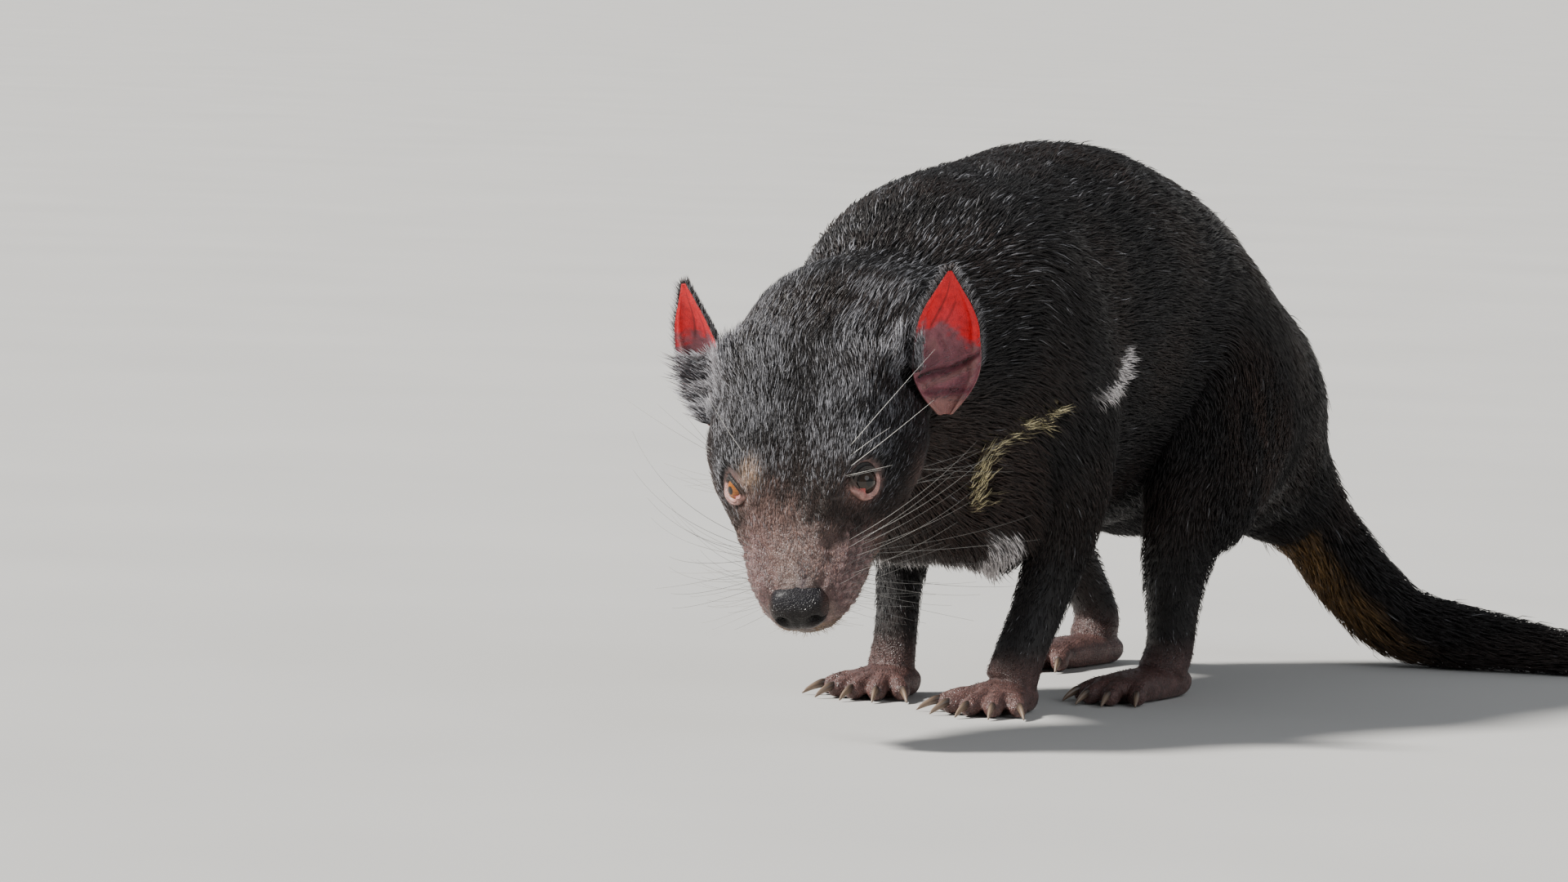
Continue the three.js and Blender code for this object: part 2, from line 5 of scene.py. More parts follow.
import bpy
import numpy as np
from mathutils import Matrix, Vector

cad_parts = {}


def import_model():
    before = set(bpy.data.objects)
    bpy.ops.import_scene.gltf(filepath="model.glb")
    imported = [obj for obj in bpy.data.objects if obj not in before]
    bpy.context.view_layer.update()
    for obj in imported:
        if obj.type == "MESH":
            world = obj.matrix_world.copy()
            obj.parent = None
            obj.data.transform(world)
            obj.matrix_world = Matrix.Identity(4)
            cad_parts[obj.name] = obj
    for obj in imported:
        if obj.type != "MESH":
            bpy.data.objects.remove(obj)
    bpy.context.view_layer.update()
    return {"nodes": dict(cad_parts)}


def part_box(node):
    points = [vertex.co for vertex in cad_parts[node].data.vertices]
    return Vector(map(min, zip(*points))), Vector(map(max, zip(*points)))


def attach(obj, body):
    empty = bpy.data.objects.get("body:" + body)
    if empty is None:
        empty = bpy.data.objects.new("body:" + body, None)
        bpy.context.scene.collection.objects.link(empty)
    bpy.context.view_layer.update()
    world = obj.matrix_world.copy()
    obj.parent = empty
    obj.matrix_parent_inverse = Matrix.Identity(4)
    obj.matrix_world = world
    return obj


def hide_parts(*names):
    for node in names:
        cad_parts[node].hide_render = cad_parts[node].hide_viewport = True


print("frame: loading the solids")
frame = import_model()


# Numbers

def unit(v):
    return v / np.maximum(np.linalg.norm(v, axis=-1, keepdims=True), 1e-9)


def dot(a, b):
    return (a * b).sum(-1, keepdims=True)


def ease(x, low, high):  # 0 below low, 1 above high, an S curve between
    t = np.clip((x - low) / (high - low), 0, 1)
    return t * t * (3 - 2 * t)


def fade(x, low, high):  # 1 below low, 0 above high
    return ease(-x, -high, -low)


def bell(x, middle, spread):  # 1 at the middle, falling away on both sides
    return np.exp(-(((x - middle) / spread) ** 2))


def roundTurn(count):  # angles evenly round a full turn
    return np.arange(count) * 2 * math.pi / count


def ripple(points, size, seed, waves=10):
    # A smooth uneven field, mostly between -1 and 1: sine waves in random directions, about a size long
    draw = np.random.default_rng(seed)
    ways = unit(draw.normal(size=(waves, 3))) * draw.uniform(0.7, 1.5, (waves, 1)) * 2 * math.pi / size
    return np.sin(points @ ways.T + draw.uniform(0, 2 * math.pi, waves)).sum(-1) / math.sqrt(waves)


def through(rows, at):
    # The smooth curve through rows of numbers (uniform Catmull-Rom), read at row numbers that may lie between
    rows = np.asarray(rows, float)
    ends = np.vstack([2 * rows[0] - rows[1], rows, 2 * rows[-1] - rows[-2]])
    k = np.clip(np.floor(at).astype(int), 0, len(rows) - 2)
    t = (at - k)[..., None]
    a, b, c, d = (ends[k + i] for i in range(4))
    return b + 0.5 * t * (c - a + t * (2 * a - 5 * b + 4 * c - d + t * (3 * (b - c) + d - a)))


# Pose and sizes of the body, as the solids have them

headLength = 160
eyeRadius = 8.2
headPose = {"at": (18.5, -245, 192), "yaw": 27.5, "pitch": 47, "roll": -9}


def turnedHead():
    yaw, pitch, roll = (math.radians(headPose[k]) for k in ("yaw", "pitch", "roll"))
    about = {
        "z": [[math.cos(yaw), -math.sin(yaw), 0], [math.sin(yaw), math.cos(yaw), 0], [0, 0, 1]],
        "x": [[1, 0, 0], [0, math.cos(pitch), -math.sin(pitch)], [0, math.sin(pitch), math.cos(pitch)]],
        "y": [[math.cos(roll), 0, math.sin(roll)], [0, 1, 0], [-math.sin(roll), 0, math.cos(roll)]],
    }
    return np.array(about["z"]) @ np.array(about["x"]) @ np.array(about["y"])


headTurn = turnedHead()


def inHead(points):  # head frame (left, back, up from the nape) to the body's frame
    return np.asarray(points, float) @ headTurn.T + headPose["at"]


def headWay(direction):
    return unit(np.asarray(direction, float) @ headTurn.T)


def toHead(points):
    return (points - headPose["at"]) @ headTurn


eyeSpots = {
    "left": {
        "centre": (30, 65 - headLength, 12),
        "look": (0.74, -0.52, 0.43),
        "slant": (0.5, 0.87, -0.02),
        "open": (8.6, 7.6),  # half the opening along the slit and across it, in mm along the ball
    },
    "right": {
        "centre": (-30, 65 - headLength, 12),
        "look": (-0.71, -0.54, 0.45),
        "slant": (-0.5, 0.87, -0.02),
        "open": (7.8, 4.4),
    },
}
leftEye = [(low + high) / 2 for low, high in zip(*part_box("eye_left"))]
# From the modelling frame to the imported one, in metres
shift = np.array(leftEye) - inHead(eyeSpots["left"]["centre"]) / 1000


def world(points):
    return np.asarray(points) / 1000 + shift


# Head: distance from the nape, height of the centre, half width, up, down, depth of the coat
headRows = [
    (headLength - 1, -16, 9, 9, 9, 0.3),
    (headLength - 5, -16, 17, 14.5, 17, 0.3),
    (headLength - 12, -15, 22, 18.5, 24, 0.4),
    (headLength - 23, -13, 26, 21, 30, 0.5),
    (headLength - 38, -11, 30.5, 25, 35, 0.7),
    (headLength - 52, -8, 37, 31, 40, 1.0),
    (headLength - 66, -6, 43.5, 37, 46, 1.4),
    (headLength - 86, -4, 50.5, 42, 50, 2.2),
    (headLength - 112, -3, 56.5, 44, 51, 3.0),
    (headLength - 138, -4, 58.5, 45, 53, 3.6),
]
# Body: across, back, height, half width, up, down, depth of the coat
bodyRows = [
    (21, -230, 198, 54, 41, 62, 4.0),
    (17, -192, 202, 55, 47, 82, 4.5),
    (9, -143, 204, 69, 71, 114, 4.8),
    (1, -92, 205, 80, 82, 127, 4.8),
    (-6, -35, 203, 85, 91, 122, 4.8),
    (-9, 30, 202, 86, 98, 117, 4.8),
    (-10, 95, 192, 86, 88, 110, 4.8),
    (-4, 155, 168, 77, 68, 100, 4.8),
    (3, 200, 138, 66, 62, 72, 4.8),
    (12, 230, 113, 46, 42, 44, 4.8),
    (21, 250, 97, 29, 26, 28, 4.5),
]
headRowCount = len(headRows)
# Legs, from the trunk to the foot: across, back, height, half width, back, front, depth of the coat
legRows = {
    "fore_left": [
        (38, -104, 232, 30, 34, 34, 4.8),
        (55, -98, 190, 32, 42, 40, 4.8),
        (62, -80, 150, 27, 37, 34, 4.4),
        (62, -68, 116, 20.5, 29, 24, 3.4),
        (57, -69, 84, 17, 21, 18.5, 2.4),
        (53, -79, 54, 15, 15.5, 14.5, 1.4),
        (50, -90, 31, 14.5, 13, 13, 0.7),
        (48, -96, 15, 15.5, 12, 11, 0.4),
    ],
    "fore_right": [
        (-38, -100, 230, 30, 34, 34, 4.8),
        (-57, -91, 186, 32, 42, 40, 4.8),
        (-63, -69, 146, 27, 36, 33, 4.4),
        (-59, -52, 114, 20, 28, 23, 3.4),
        (-52, -50, 84, 16, 20, 18, 2.4),
        (-46, -61, 54, 13, 14, 13, 1.4),
        (-42, -69, 31, 12.5, 11.5, 11.5, 0.7),
        (-41, -74, 15, 14, 11, 10, 0.4),
    ],
    "hind_left": [
        (34, 136, 186, 32, 62, 56, 4.8),
        (54, 108, 160, 34, 64, 58, 4.8),
        (68, 68, 128, 28.5, 54, 45, 4.6),
        (73, 40, 100, 22, 41, 29, 4.0),
        (70, 36, 74, 18, 30, 23, 3.0),
        (67, 40, 48, 14.5, 20, 18, 1.8),
        (65, 42, 26, 13.5, 14, 14, 0.8),
        (64, 36, 13, 14, 13, 13, 0.4),
    ],
    "hind_right": [
        (-34, 160, 178, 32, 58, 52, 4.8),
        (-54, 146, 150, 34, 58, 54, 4.8),
        (-68, 126, 122, 28, 48, 42, 4.6),
        (-72, 120, 97, 21, 35, 28, 4.0),
        (-68, 142, 73, 16.5, 21, 20, 3.0),
        (-63, 165, 46, 13.5, 14, 15, 1.8),
        (-60, 175, 26, 13.5, 12, 13, 0.8),
        (-59, 169, 13, 14, 13, 13, 0.4),
    ],
}
palms = {
    "fore_left": {"at": (47, -102), "heading": 3, "halfWidth": 18.5, "length": 17},
    "fore_right": {"at": (-40, -80), "heading": 4, "halfWidth": 18, "length": 17},
    "hind_left": {"at": (63, 20), "heading": 3, "halfWidth": 16, "length": 35},
    "hind_right": {"at": (-57, 146), "heading": -2, "halfWidth": 16, "length": 35},
}
# Tail: across, back, height, half width, up, down, depth of the coat
tailRows = [
    (12, 232, 118, 22, 20, 20, 4.5),
    (21, 250, 97, 26.5, 24.5, 25, 5.5),
    (33, 266, 75, 26.5, 25, 25, 6),
    (48, 281, 50, 26, 24, 25, 6),
    (67, 296, 29, 24, 22.5, 25, 6),
    (93, 308, 21, 22, 20.5, 22.5, 6),
    (123, 320, 17, 18.5, 17.5, 18, 5.5),
    (153, 331, 13.5, 14.5, 14, 15, 4.8),
    (182, 341, 10, 10, 9.5, 11, 3.8),
    (206, 350, 6.5, 3.4, 3.2, 6.6, 1.6),
]


# Tubes: sections carried along a curve

samplesPerRow = 40
batch = 20000  # points measured at a time, so that the memory is enough
rightToLeft = np.array([1.0, 0, 0])


def makeTube(rows, sides, power):
    # Centre, half sizes and axes of a tube, sampled evenly by row number. Each section is a superellipse
    last = len(rows) - 1
    at = np.linspace(0, last, last * samplesPerRow + 1)
    read = through(rows, at)
    step = 0.02
    ahead = through(rows, np.minimum(at + step, last))[:, :3]
    behind = through(rows, np.maximum(at - step, 0))[:, :3]
    along = unit(ahead - behind)
    side = through(sides, at) if len(sides) == len(rows) else np.tile(sides[0], (len(at), 1))
    side = unit(side - along * dot(side, along))
    lengths = np.linalg.norm(np.diff(read[:, :3], axis=0), axis=1)
    return {
        "centre": read[:, :3],
        "half": read[:, 3:6],
        "depth": read[:, 6:7],
        "side": side,
        "up": np.cross(side, along),
        "along": along,
        "run": np.concatenate([[0], np.cumsum(lengths)])[:, None],
        "power": power,
        "last": last,
    }


def atRow(tube, row, *what):
    place = np.clip(np.asarray(row, float), 0, tube["last"]) * samplesPerRow
    low = np.minimum(place.astype(int), len(tube["centre"]) - 2)
    t = (place - low)[..., None]
    return [tube[k][low] * (1 - t) + tube[k][low + 1] * t for k in what]


def tubePoint(tube, row, angle, lift=0.0, bare=True):
    # Centre + side * half width * bent cosine + up * half height * bent sine, then lifted along that ray.
    # Angle 0 is the left side and 90 degrees the top. Bare leaves out the depth of the coat
    centre, half, side, up, depth = atRow(tube, row, "centre", "half", "side", "up", "depth")
    across, rise = np.cos(angle), np.sin(angle)
    across = np.sign(across) * np.abs(across) ** (2 / tube["power"])
    rise = np.sign(rise) * np.abs(rise) ** (2 / tube["power"])
    tall = np.where(rise > 0, half[..., 1], half[..., 2])
    ray = side * (half[..., 0] * across)[..., None] + up * (tall * rise)[..., None]
    reach = np.linalg.norm(ray, axis=-1, keepdims=True)
    grow = np.asarray(lift, float)[..., None] - (depth if bare else 0)
    return centre + ray * (reach + grow) / reach


def tubeWhere(tube, points):
    # Row, angle and distance outside the tube's bare skin, of points: the nearest place on the centre line
    row = np.empty(len(points))
    for start in range(0, len(points), batch):
        part = points[start : start + batch]
        away = (tube["centre"] ** 2).sum(1) - 2 * part @ tube["centre"].T
        k = np.clip(away.argmin(1), 1, len(tube["centre"]) - 2)
        each = np.arange(len(part))
        before, here, after = away[each, k - 1], away[each, k], away[each, k + 1]
        bend = np.maximum(before - 2 * here + after, 1e-9)
        row[start : start + batch] = (k + np.clip((before - after) / (2 * bend), -1, 1)) / samplesPerRow
    centre, half, side, up, along, depth = atRow(tube, row, "centre", "half", "side", "up", "along", "depth")
    off = points - centre
    a, b = dot(off, side)[:, 0], dot(off, up)[:, 0]
    tall = np.where(b > 0, half[:, 1], half[:, 2])
    power = tube["power"]
    p = (np.abs(a) / half[:, 0]) ** (power / 2)
    q = (np.abs(b) / tall) ** (power / 2)
    share = np.maximum((p * p + q * q) ** (1 / power), 1e-6)
    radial = np.hypot(a, b)
    outside = radial - radial / share + depth[:, 0]
    past = np.abs(dot(off, along)[:, 0])
    far = np.where(outside > 0, np.hypot(outside, past), np.maximum(outside, -1e3) + past)
    return {"row": row, "angle": np.arctan2(np.sign(b) * q, np.sign(a) * p), "outside": far, "along": along}


def spineRowsAndSides():
    headPart = [(*inHead((0, -away, rise)), *rest) for away, rise, *rest in headRows]
    sides = [headWay(rightToLeft)] * headRowCount + [rightToLeft] * len(bodyRows)
    return headPart + bodyRows, sides


spine = makeTube(*spineRowsAndSides(), power=2.15)
tail = makeTube(tailRows, [np.array([0.9, -0.4, 0])], power=2.05)
legs = {name: makeTube(rows, [rightToLeft], power=2.1) for name, rows in legRows.items()}
tubes = {"spine": spine, "tail": tail, **legs}


# Meshes

def ringFaces(rings, sides, first=0):
    # Quads between rings of a closed tube
    i, j = np.meshgrid(np.arange(rings - 1), np.arange(sides), indexing="ij")
    a = i * sides + j
    b = i * sides + (j + 1) % sides
    return np.stack([a, b, b + sides, a + sides], -1).reshape(-1, 4) + first


def closedTube(points):
    # Rings (rings, sides, 3) with a fan at each end, as vertices and lists of faces
    rings, sides, _ = points.shape
    flat = np.concatenate([points.reshape(-1, 3), points[:1].mean(1), points[-1:].mean(1)])
    j = np.arange(sides)
    n = (j + 1) % sides
    start, end = rings * sides, rings * sides + 1
    last = (rings - 1) * sides
    caps = np.concatenate([
        np.stack([np.full(sides, start), n, j], 1),
        np.stack([np.full(sides, end), last + j, last + n], 1),
    ])
    return flat, [ringFaces(rings, sides), caps]


def newMesh(name, points, faces):
    # points in the body's frame, faces as arrays of quads or triangles
    mesh = bpy.data.meshes.new(name)
    mesh.vertices.add(len(points))
    mesh.vertices.foreach_set("co", world(points).astype(np.float32).ravel())
    sizes = np.concatenate([np.full(len(f), f.shape[1]) for f in faces])
    mesh.loops.add(int(sizes.sum()))
    mesh.loops.foreach_set("vertex_index", np.concatenate([f.ravel() for f in faces]).astype(np.int32))
    mesh.polygons.add(len(sizes))
    starts = np.concatenate([[0], np.cumsum(sizes)[:-1]])
    mesh.polygons.foreach_set("loop_start", starts.astype(np.int32))
    mesh.update(calc_edges=True)
    mesh.shade_smooth()
    return mesh


def placed(name, data):
    thing = bpy.data.objects.new(name, data)
    bpy.context.scene.collection.objects.link(thing)
    return thing


def newPiece(name, mesh, material, slot, *replaced):
    piece = placed(name, mesh)
    mesh.materials.append(material)
    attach(piece, "root")
    if replaced:
        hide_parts(*replaced)
    return piece


paintKinds = {"FLOAT_COLOR": "color", "FLOAT_VECTOR": "vector", "FLOAT": "value"}


def paint(mesh, name, values, kind="FLOAT_COLOR"):
    # A value for each vertex, under a name that the material reads
    if kind == "FLOAT_COLOR":
        values = np.concatenate([values, np.ones((len(values), 1))], 1)
    layer = mesh.attributes.new(name, kind, "POINT")
    layer.data.foreach_set(paintKinds[kind], values.astype(np.float32).ravel())


def withPoles(values):
    # A grid of values for the rings of a closed tube, and then the values for its two end points
    return np.concatenate([values.ravel(), values[0, :1], values[-1, :1]])


def withModifier(mesh, kind, covered=None, **settings):
    # The mesh with one modifier applied. Covered marks the vertices that it works on
    thing = placed(mesh.name, mesh)
    if covered is not None:
        thing.vertex_groups.new(name="covered").add(np.nonzero(covered)[0].tolist(), 1.0, "REPLACE")
        settings["vertex_group"] = "covered"
    modifier = thing.modifiers.new(kind.lower(), kind)
    for key, value in settings.items():
        setattr(modifier, key, value)
    depsgraph = bpy.context.evaluated_depsgraph_get()
    result = bpy.data.meshes.new_from_object(thing.evaluated_get(depsgraph))
    bpy.data.objects.remove(thing)
    return result


def merged(parts):
    # Several (points, faces) into one
    points, faces, first = [], [], 0
    for flat, lists in parts:
        points.append(flat)
        faces += [f + first for f in lists]
        first += len(flat)
    return np.concatenate(points), faces


# Node trees

class Tree:
    # Short ways to add nodes. A socket is fed with a value or with another node's output

    def __init__(self, tree):
        self.tree = tree

    def feed(self, value, socket):
        if isinstance(value, bpy.types.NodeSocket):
            self.tree.links.new(value, socket)
        else:
            socket.default_value = value

    def node(self, kind, inputs, **settings):
        made = self.tree.nodes.new(kind)
        for key, value in settings.items():
            setattr(made, key, value)
        for socket, value in inputs.items():
            self.feed(value, made.inputs[socket])
        return made

    def math(self, operation, *values):
        return self.node("ShaderNodeMath", dict(enumerate(values)), operation=operation).outputs[0]

    def noise(self, vector, scale, detail, **more):
        sockets = {"Vector": vector, "Scale": scale, "Detail": detail, **more}
        return self.node("ShaderNodeTexNoise", sockets).outputs["Fac"]

    def cells(self, vector, scale):
        # Distance to the nearest edge between cells
        sockets = {"Vector": vector, "Scale": scale, "Randomness": 1.0}
        return self.node("ShaderNodeTexVoronoi", sockets, feature="DISTANCE_TO_EDGE").outputs["Distance"]

    def ranged(self, value, low, high, toLow=0.0, toHigh=1.0, **settings):
        sockets = {"Value": value, "From Min": low, "From Max": high, "To Min": toLow, "To Max": toHigh}
        return self.node("ShaderNodeMapRange", sockets, **settings).outputs["Result"]


class Effect(Tree):
    # A shared group of nodes. Given: a number for each value that it takes, or None for a vector

    def __init__(self, name, **given):
        super().__init__(bpy.data.node_groups.new(name, "ShaderNodeTree"))
        for label, value in given.items():
            kind = "NodeSocketVector" if value is None else "NodeSocketFloat"
            socket = self.tree.interface.new_socket(label, in_out="INPUT", socket_type=kind)
            if value is not None:
                socket.default_value = value
        self.given = self.tree.nodes.new("NodeGroupInput").outputs

    def end(self, **results):
        for label in results:
            self.tree.interface.new_socket(label, in_out="OUTPUT", socket_type="NodeSocketFloat")
        self.node("NodeGroupOutput", results)
        return self.tree


class Recipe(Tree):
    # A material with a Principled BSDF, whose sockets are named with _ for each space

    def __init__(self, name, **constants):
        self.material = bpy.data.materials.new(name)
        self.material.use_nodes = True
        super().__init__(self.material.node_tree)
        self.end(**constants)

    def end(self, **sockets):
        for socket, value in sockets.items():
            self.feed(value, self.tree.nodes["Principled BSDF"].inputs[socket.replace("_", " ")])
        return self.material

    def effect(self, group, **inputs):
        return self.node("ShaderNodeGroup", inputs, node_tree=group).outputs

    def attribute(self, name, output="Color"):
        return self.node("ShaderNodeAttribute", {}, attribute_name=name).outputs[output]

    def place(self):
        return self.node("ShaderNodeTexCoord", {}).outputs["Object"]

    def drifting(self, scale, detail, low, high):
        # A value that drifts between two over the piece
        return self.ranged(self.noise(self.place(), scale, detail), 0.3, 0.7, low, high)

    def times(self, colour, *values):
        # A colour made lighter or darker by each value
        for value in values:
            sockets = {0: colour, "Scale": value}
            colour = self.node("ShaderNodeVectorMath", sockets, operation="SCALE").outputs["Vector"]
        return colour

    def blend(self, factor, first, second):
        sockets = {0: factor, 6: first, 7: second}
        return self.node("ShaderNodeMix", sockets, data_type="RGBA").outputs[2]

    def bump(self, height, strength, distance, **under):
        sockets = {"Height": height, "Strength": strength, "Distance": distance, **under}
        return self.node("ShaderNodeBump", sockets).outputs["Normal"]


def makeHairStreak():
    # Fine strands lying along a coat: noise drawn out along the lie, as a height and a light-dark mask
    effect = Effect("hairStreak", Lay=None, Strand=1.0, Length=9.0)
    lay = effect.node("ShaderNodeSeparateXYZ", {0: effect.given["Lay"]}).outputs
    along = effect.math("DIVIDE", lay["X"], effect.given["Length"])
    across = effect.math("DIVIDE", lay["Y"], effect.given["Strand"])
    drawn = effect.node("ShaderNodeCombineXYZ", {"X": along, "Y": across, "Z": lay["Z"]}).outputs[0]
    fine = effect.noise(drawn, 1.0, 3.0, Distortion=0.4)
    return effect.end(Height=fine, Mask=effect.ranged(fine, 0.35, 0.7))


def makeSkinGrain():
    # Pores and small creases of bare skin: cells with soft edges and finer noise, as a height and a mask
    effect = Effect("skinGrain", Place=None, Scale=900.0)
    place, scale = effect.given["Place"], effect.given["Scale"]
    pores = effect.ranged(effect.cells(place, scale), 0.0, 0.35, interpolation_type="SMOOTHSTEP")
    fine = effect.noise(place, scale, 4.0)
    return effect.end(Height=effect.math("MULTIPLY_ADD", fine, 0.5, pores), Mask=pores)


print("materials: shared effects")
hairStreak = makeHairStreak()
skinGrain = makeSkinGrain()


def skinMaterial():
    # Painted colours, with fur streaks where the coat is short and pores where the skin is bare
    recipe = Recipe(
        "skinFinish",
        Subsurface_Weight=0.1,
        Subsurface_Scale=0.003,
        Subsurface_Radius=(1.0, 0.35, 0.2),
        Specular_IOR_Level=0.4,
    )
    bare = recipe.attribute("bare", "Fac")
    streak = recipe.effect(hairStreak, Lay=recipe.attribute("lay", "Vector"), Strand=0.5, Length=5.0)
    grain = recipe.effect(skinGrain, Place=recipe.place(), Scale=700.0)
    furShade = recipe.ranged(streak["Mask"], 0.0, 1.0, 0.5, 1.4)
    bareShade = recipe.ranged(grain["Mask"], 0.0, 1.0, 0.7, 1.08)
    shade = recipe.node("ShaderNodeMix", {0: bare, 2: furShade, 3: bareShade}, data_type="FLOAT").outputs[0]
    colour = recipe.times(recipe.attribute("tint"), shade, recipe.drifting(220.0, 4.0, 0.72, 1.28))
    furBump = recipe.bump(streak["Height"], 0.6, 0.001)
    normal = recipe.bump(grain["Height"], recipe.math("MULTIPLY", bare, 0.55), 0.0005, Normal=furBump)
    return recipe.end(Base_Color=colour, Roughness=recipe.drifting(380.0, 2.0, 0.28, 0.52), Normal=normal)


def coatMaterial():
    recipe = Recipe("coatFinish", Specular_IOR_Level=0.42, Sheen_Weight=0.03, Sheen_Roughness=0.3)
    glint = recipe.ranged(recipe.noise(recipe.place(), 900.0, 2.0), 0.35, 0.65, 0.75, 1.3)
    colour = recipe.times(recipe.attribute("tint"), glint)
    return recipe.end(Base_Color=colour, Roughness=recipe.drifting(450.0, 1.0, 0.36, 0.52))


# Markings: where the coat isn't black

markings = {
    "band": [  # the pale line down from the left shoulder: place and half width
        (80.7, -116.8, 162.7, 2.6),
        (73.3, -122.4, 158.7, 3.6),
        (70.4, -134.9, 151.0, 3.6),
        (66.1, -146.9, 144.4, 4.0),
        (62.1, -153.2, 137.9, 4.6),
        (58.3, -152.1, 129.2, 5.6),
        (55.0, -148.0, 120.5, 6.6),
        (49.8, -144.2, 110.3, 5.6),
        (45.1, -142.0, 103.6, 3.0),
    ],
    "blaze": [  # the white of the breast, from one side to the other
        (46, -126, 98, 3.0),
        (49, -113, 92, 8.0),
        (40, -102, 83, 9.5),
        (14, -98, 75, 11.0),
        (-12, -100, 76, 9.5),
        (-38, -110, 86, 5.0),
        (-52, -124, 104, 2.5),
        (-62, -132, 128, 1.5),
    ],
    "patch": [  # the white patch behind the shoulder
        (90, -92, 168, 2.0),
        (87, -76, 173, 6.5),
        (78, -50, 175.5, 9.0),
        (78, -40, 182, 10.0),
        (78.5, -36, 190, 6.5),
    ],
    "patchFlatness": 1.8,
    "neckBare": {"at": (62, -178, 150), "size": 20},
}
tones = {
    "black": (0.0092, 0.0074, 0.0076),
    # pale hair tips, also used as painted sheen on the coat
    "paleHairAndSheen": (0.37, 0.37, 0.40),
    "cream": (0.58, 0.50, 0.29),
    "white": (0.66, 0.62, 0.62),
    "umber": (0.050, 0.027, 0.019),
    "muzzle": (0.235, 0.142, 0.118),
    "foot": (0.145, 0.078, 0.070),
    "knuckle": (0.05, 0.028, 0.026),
    "gold": (0.21, 0.115, 0.038),
    # painted highlight on the right brow
    "browHighlight": (0.50, 0.33, 0.22),
    "rim": (0.50, 0.27, 0.235),
    "lip": (0.045, 0.024, 0.020),
    "pad": (0.165, 0.085, 0.086),
    # partly grey hair, partly a painted highlight on the top of the muzzle
    "bridge": (0.24, 0.185, 0.165),
    "midline": (0.060, 0.042, 0.052),
    "mottle": (0.070, 0.042, 0.038),
    # painted shade between the whisker roots
    "shadeBetweenFollicles": (0.070, 0.036, 0.038),
    # paler whisker roots, partly a painted highlight
    "follicleTopPaleAndLit": (0.36, 0.24, 0.23),
    "eyeCorner": (0.46, 0.075, 0.065),
    "lash": (0.02, 0.012, 0.01),
    "nose": (0.012, 0.0075, 0.007),
    # painted sheen on the top of the nose
    "noseTopSheen": (0.020, 0.019, 0.026),
    "noseSide": (0.085, 0.038, 0.030),
    "noseFoot": (0.080, 0.034, 0.027),
    # painted shade in the nostrils
    "nostrilShade": (0.003, 0.002, 0.002),
    "ear": (0.25, 0.082, 0.104),
    # painted shade in the hollow of the ear
    "earShade": (0.095, 0.034, 0.045),
    "earLobe": (0.30, 0.135, 0.120),
    # painted shade in the ear's grooves
    "earGrooveShade": (0.050, 0.016, 0.022),
    "earRidge": (0.24, 0.13, 0.11),
    # painted light through the thin ear near its tip, in these two reds
    "backlitCrimson": (0.52, 0.004, 0.010),
    "backlitRosy": (0.56, 0.045, 0.065),
    "vein": (0.12, 0.006, 0.006),
    # painted glow of that light, as emission
    "backlitGlow": (0.60, 0.004, 0.008),
    "horn": (0.22, 0.155, 0.11),
    "hornRoot": (0.035, 0.024, 0.02),
}
hands = {"left": 1, "right": -1}  # the way that each side lies across the body


def nearRun(points, run, flatness=1.0):
    # Distance to a chain of places less the half width there, so negative on the marking, and its way back
    run = np.asarray(run, float)
    stretch = np.array([1, 1, flatness])
    best = np.full(len(points), 1e9)
    back = np.zeros((len(points), 3))
    for a, b in zip(run[:-1], run[1:]):
        way = (b[:3] - a[:3]) * stretch
        off = (points - a[:3]) * stretch
        t = np.clip(off @ way / (way @ way), 0, 1)
        away = np.linalg.norm(off - t[:, None] * way, axis=1) - (a[3] + (b[3] - a[3]) * t)
        back[away < best] = unit(a[:3] - b[:3])
        best = np.minimum(best, away)
    return best, back


def mixed(first, second, share):
    return first + (np.asarray(second) - first) * share[:, None]


def painted(tint, *layers):
    # Tones laid over a colour one after the other, each by its share at each point
    for tone, share in layers:
        tint = mixed(tint, tones[tone], share)
    return tint


def flatTone(tone, count):
    return np.tile(np.array(tones[tone]), (count, 1))


def spotsOn(points, at, size):
    return bell(np.linalg.norm((points - np.asarray(at, float)) / size, axis=1), 0, 1)


def neckBareShare(points, scale=1.0):
    return spotsOn(points, markings["neckBare"]["at"], markings["neckBare"]["size"] * scale)


def mirroredAngle(angle):  # folds the right side of a tube onto its left side
    return np.arctan2(np.sin(angle), np.abs(np.cos(angle)))


def muzzleShare(points, row, angle):
    # 1 on the bare-looking muzzle. It reaches further back on the right of the bridge than on the left
    edge = 4.35 + 0.7 * bell(angle, 2.0, 0.42) - 0.8 * bell(angle, 0.9, 0.48)
    edge = edge - fade(np.sin(angle), -1, -0.5)
    edge = edge + 0.22 * ripple(points, 12, 36) + 0.12 * ripple(points, 4, 37)
    return ease(edge - row, -1.0, 0.75)


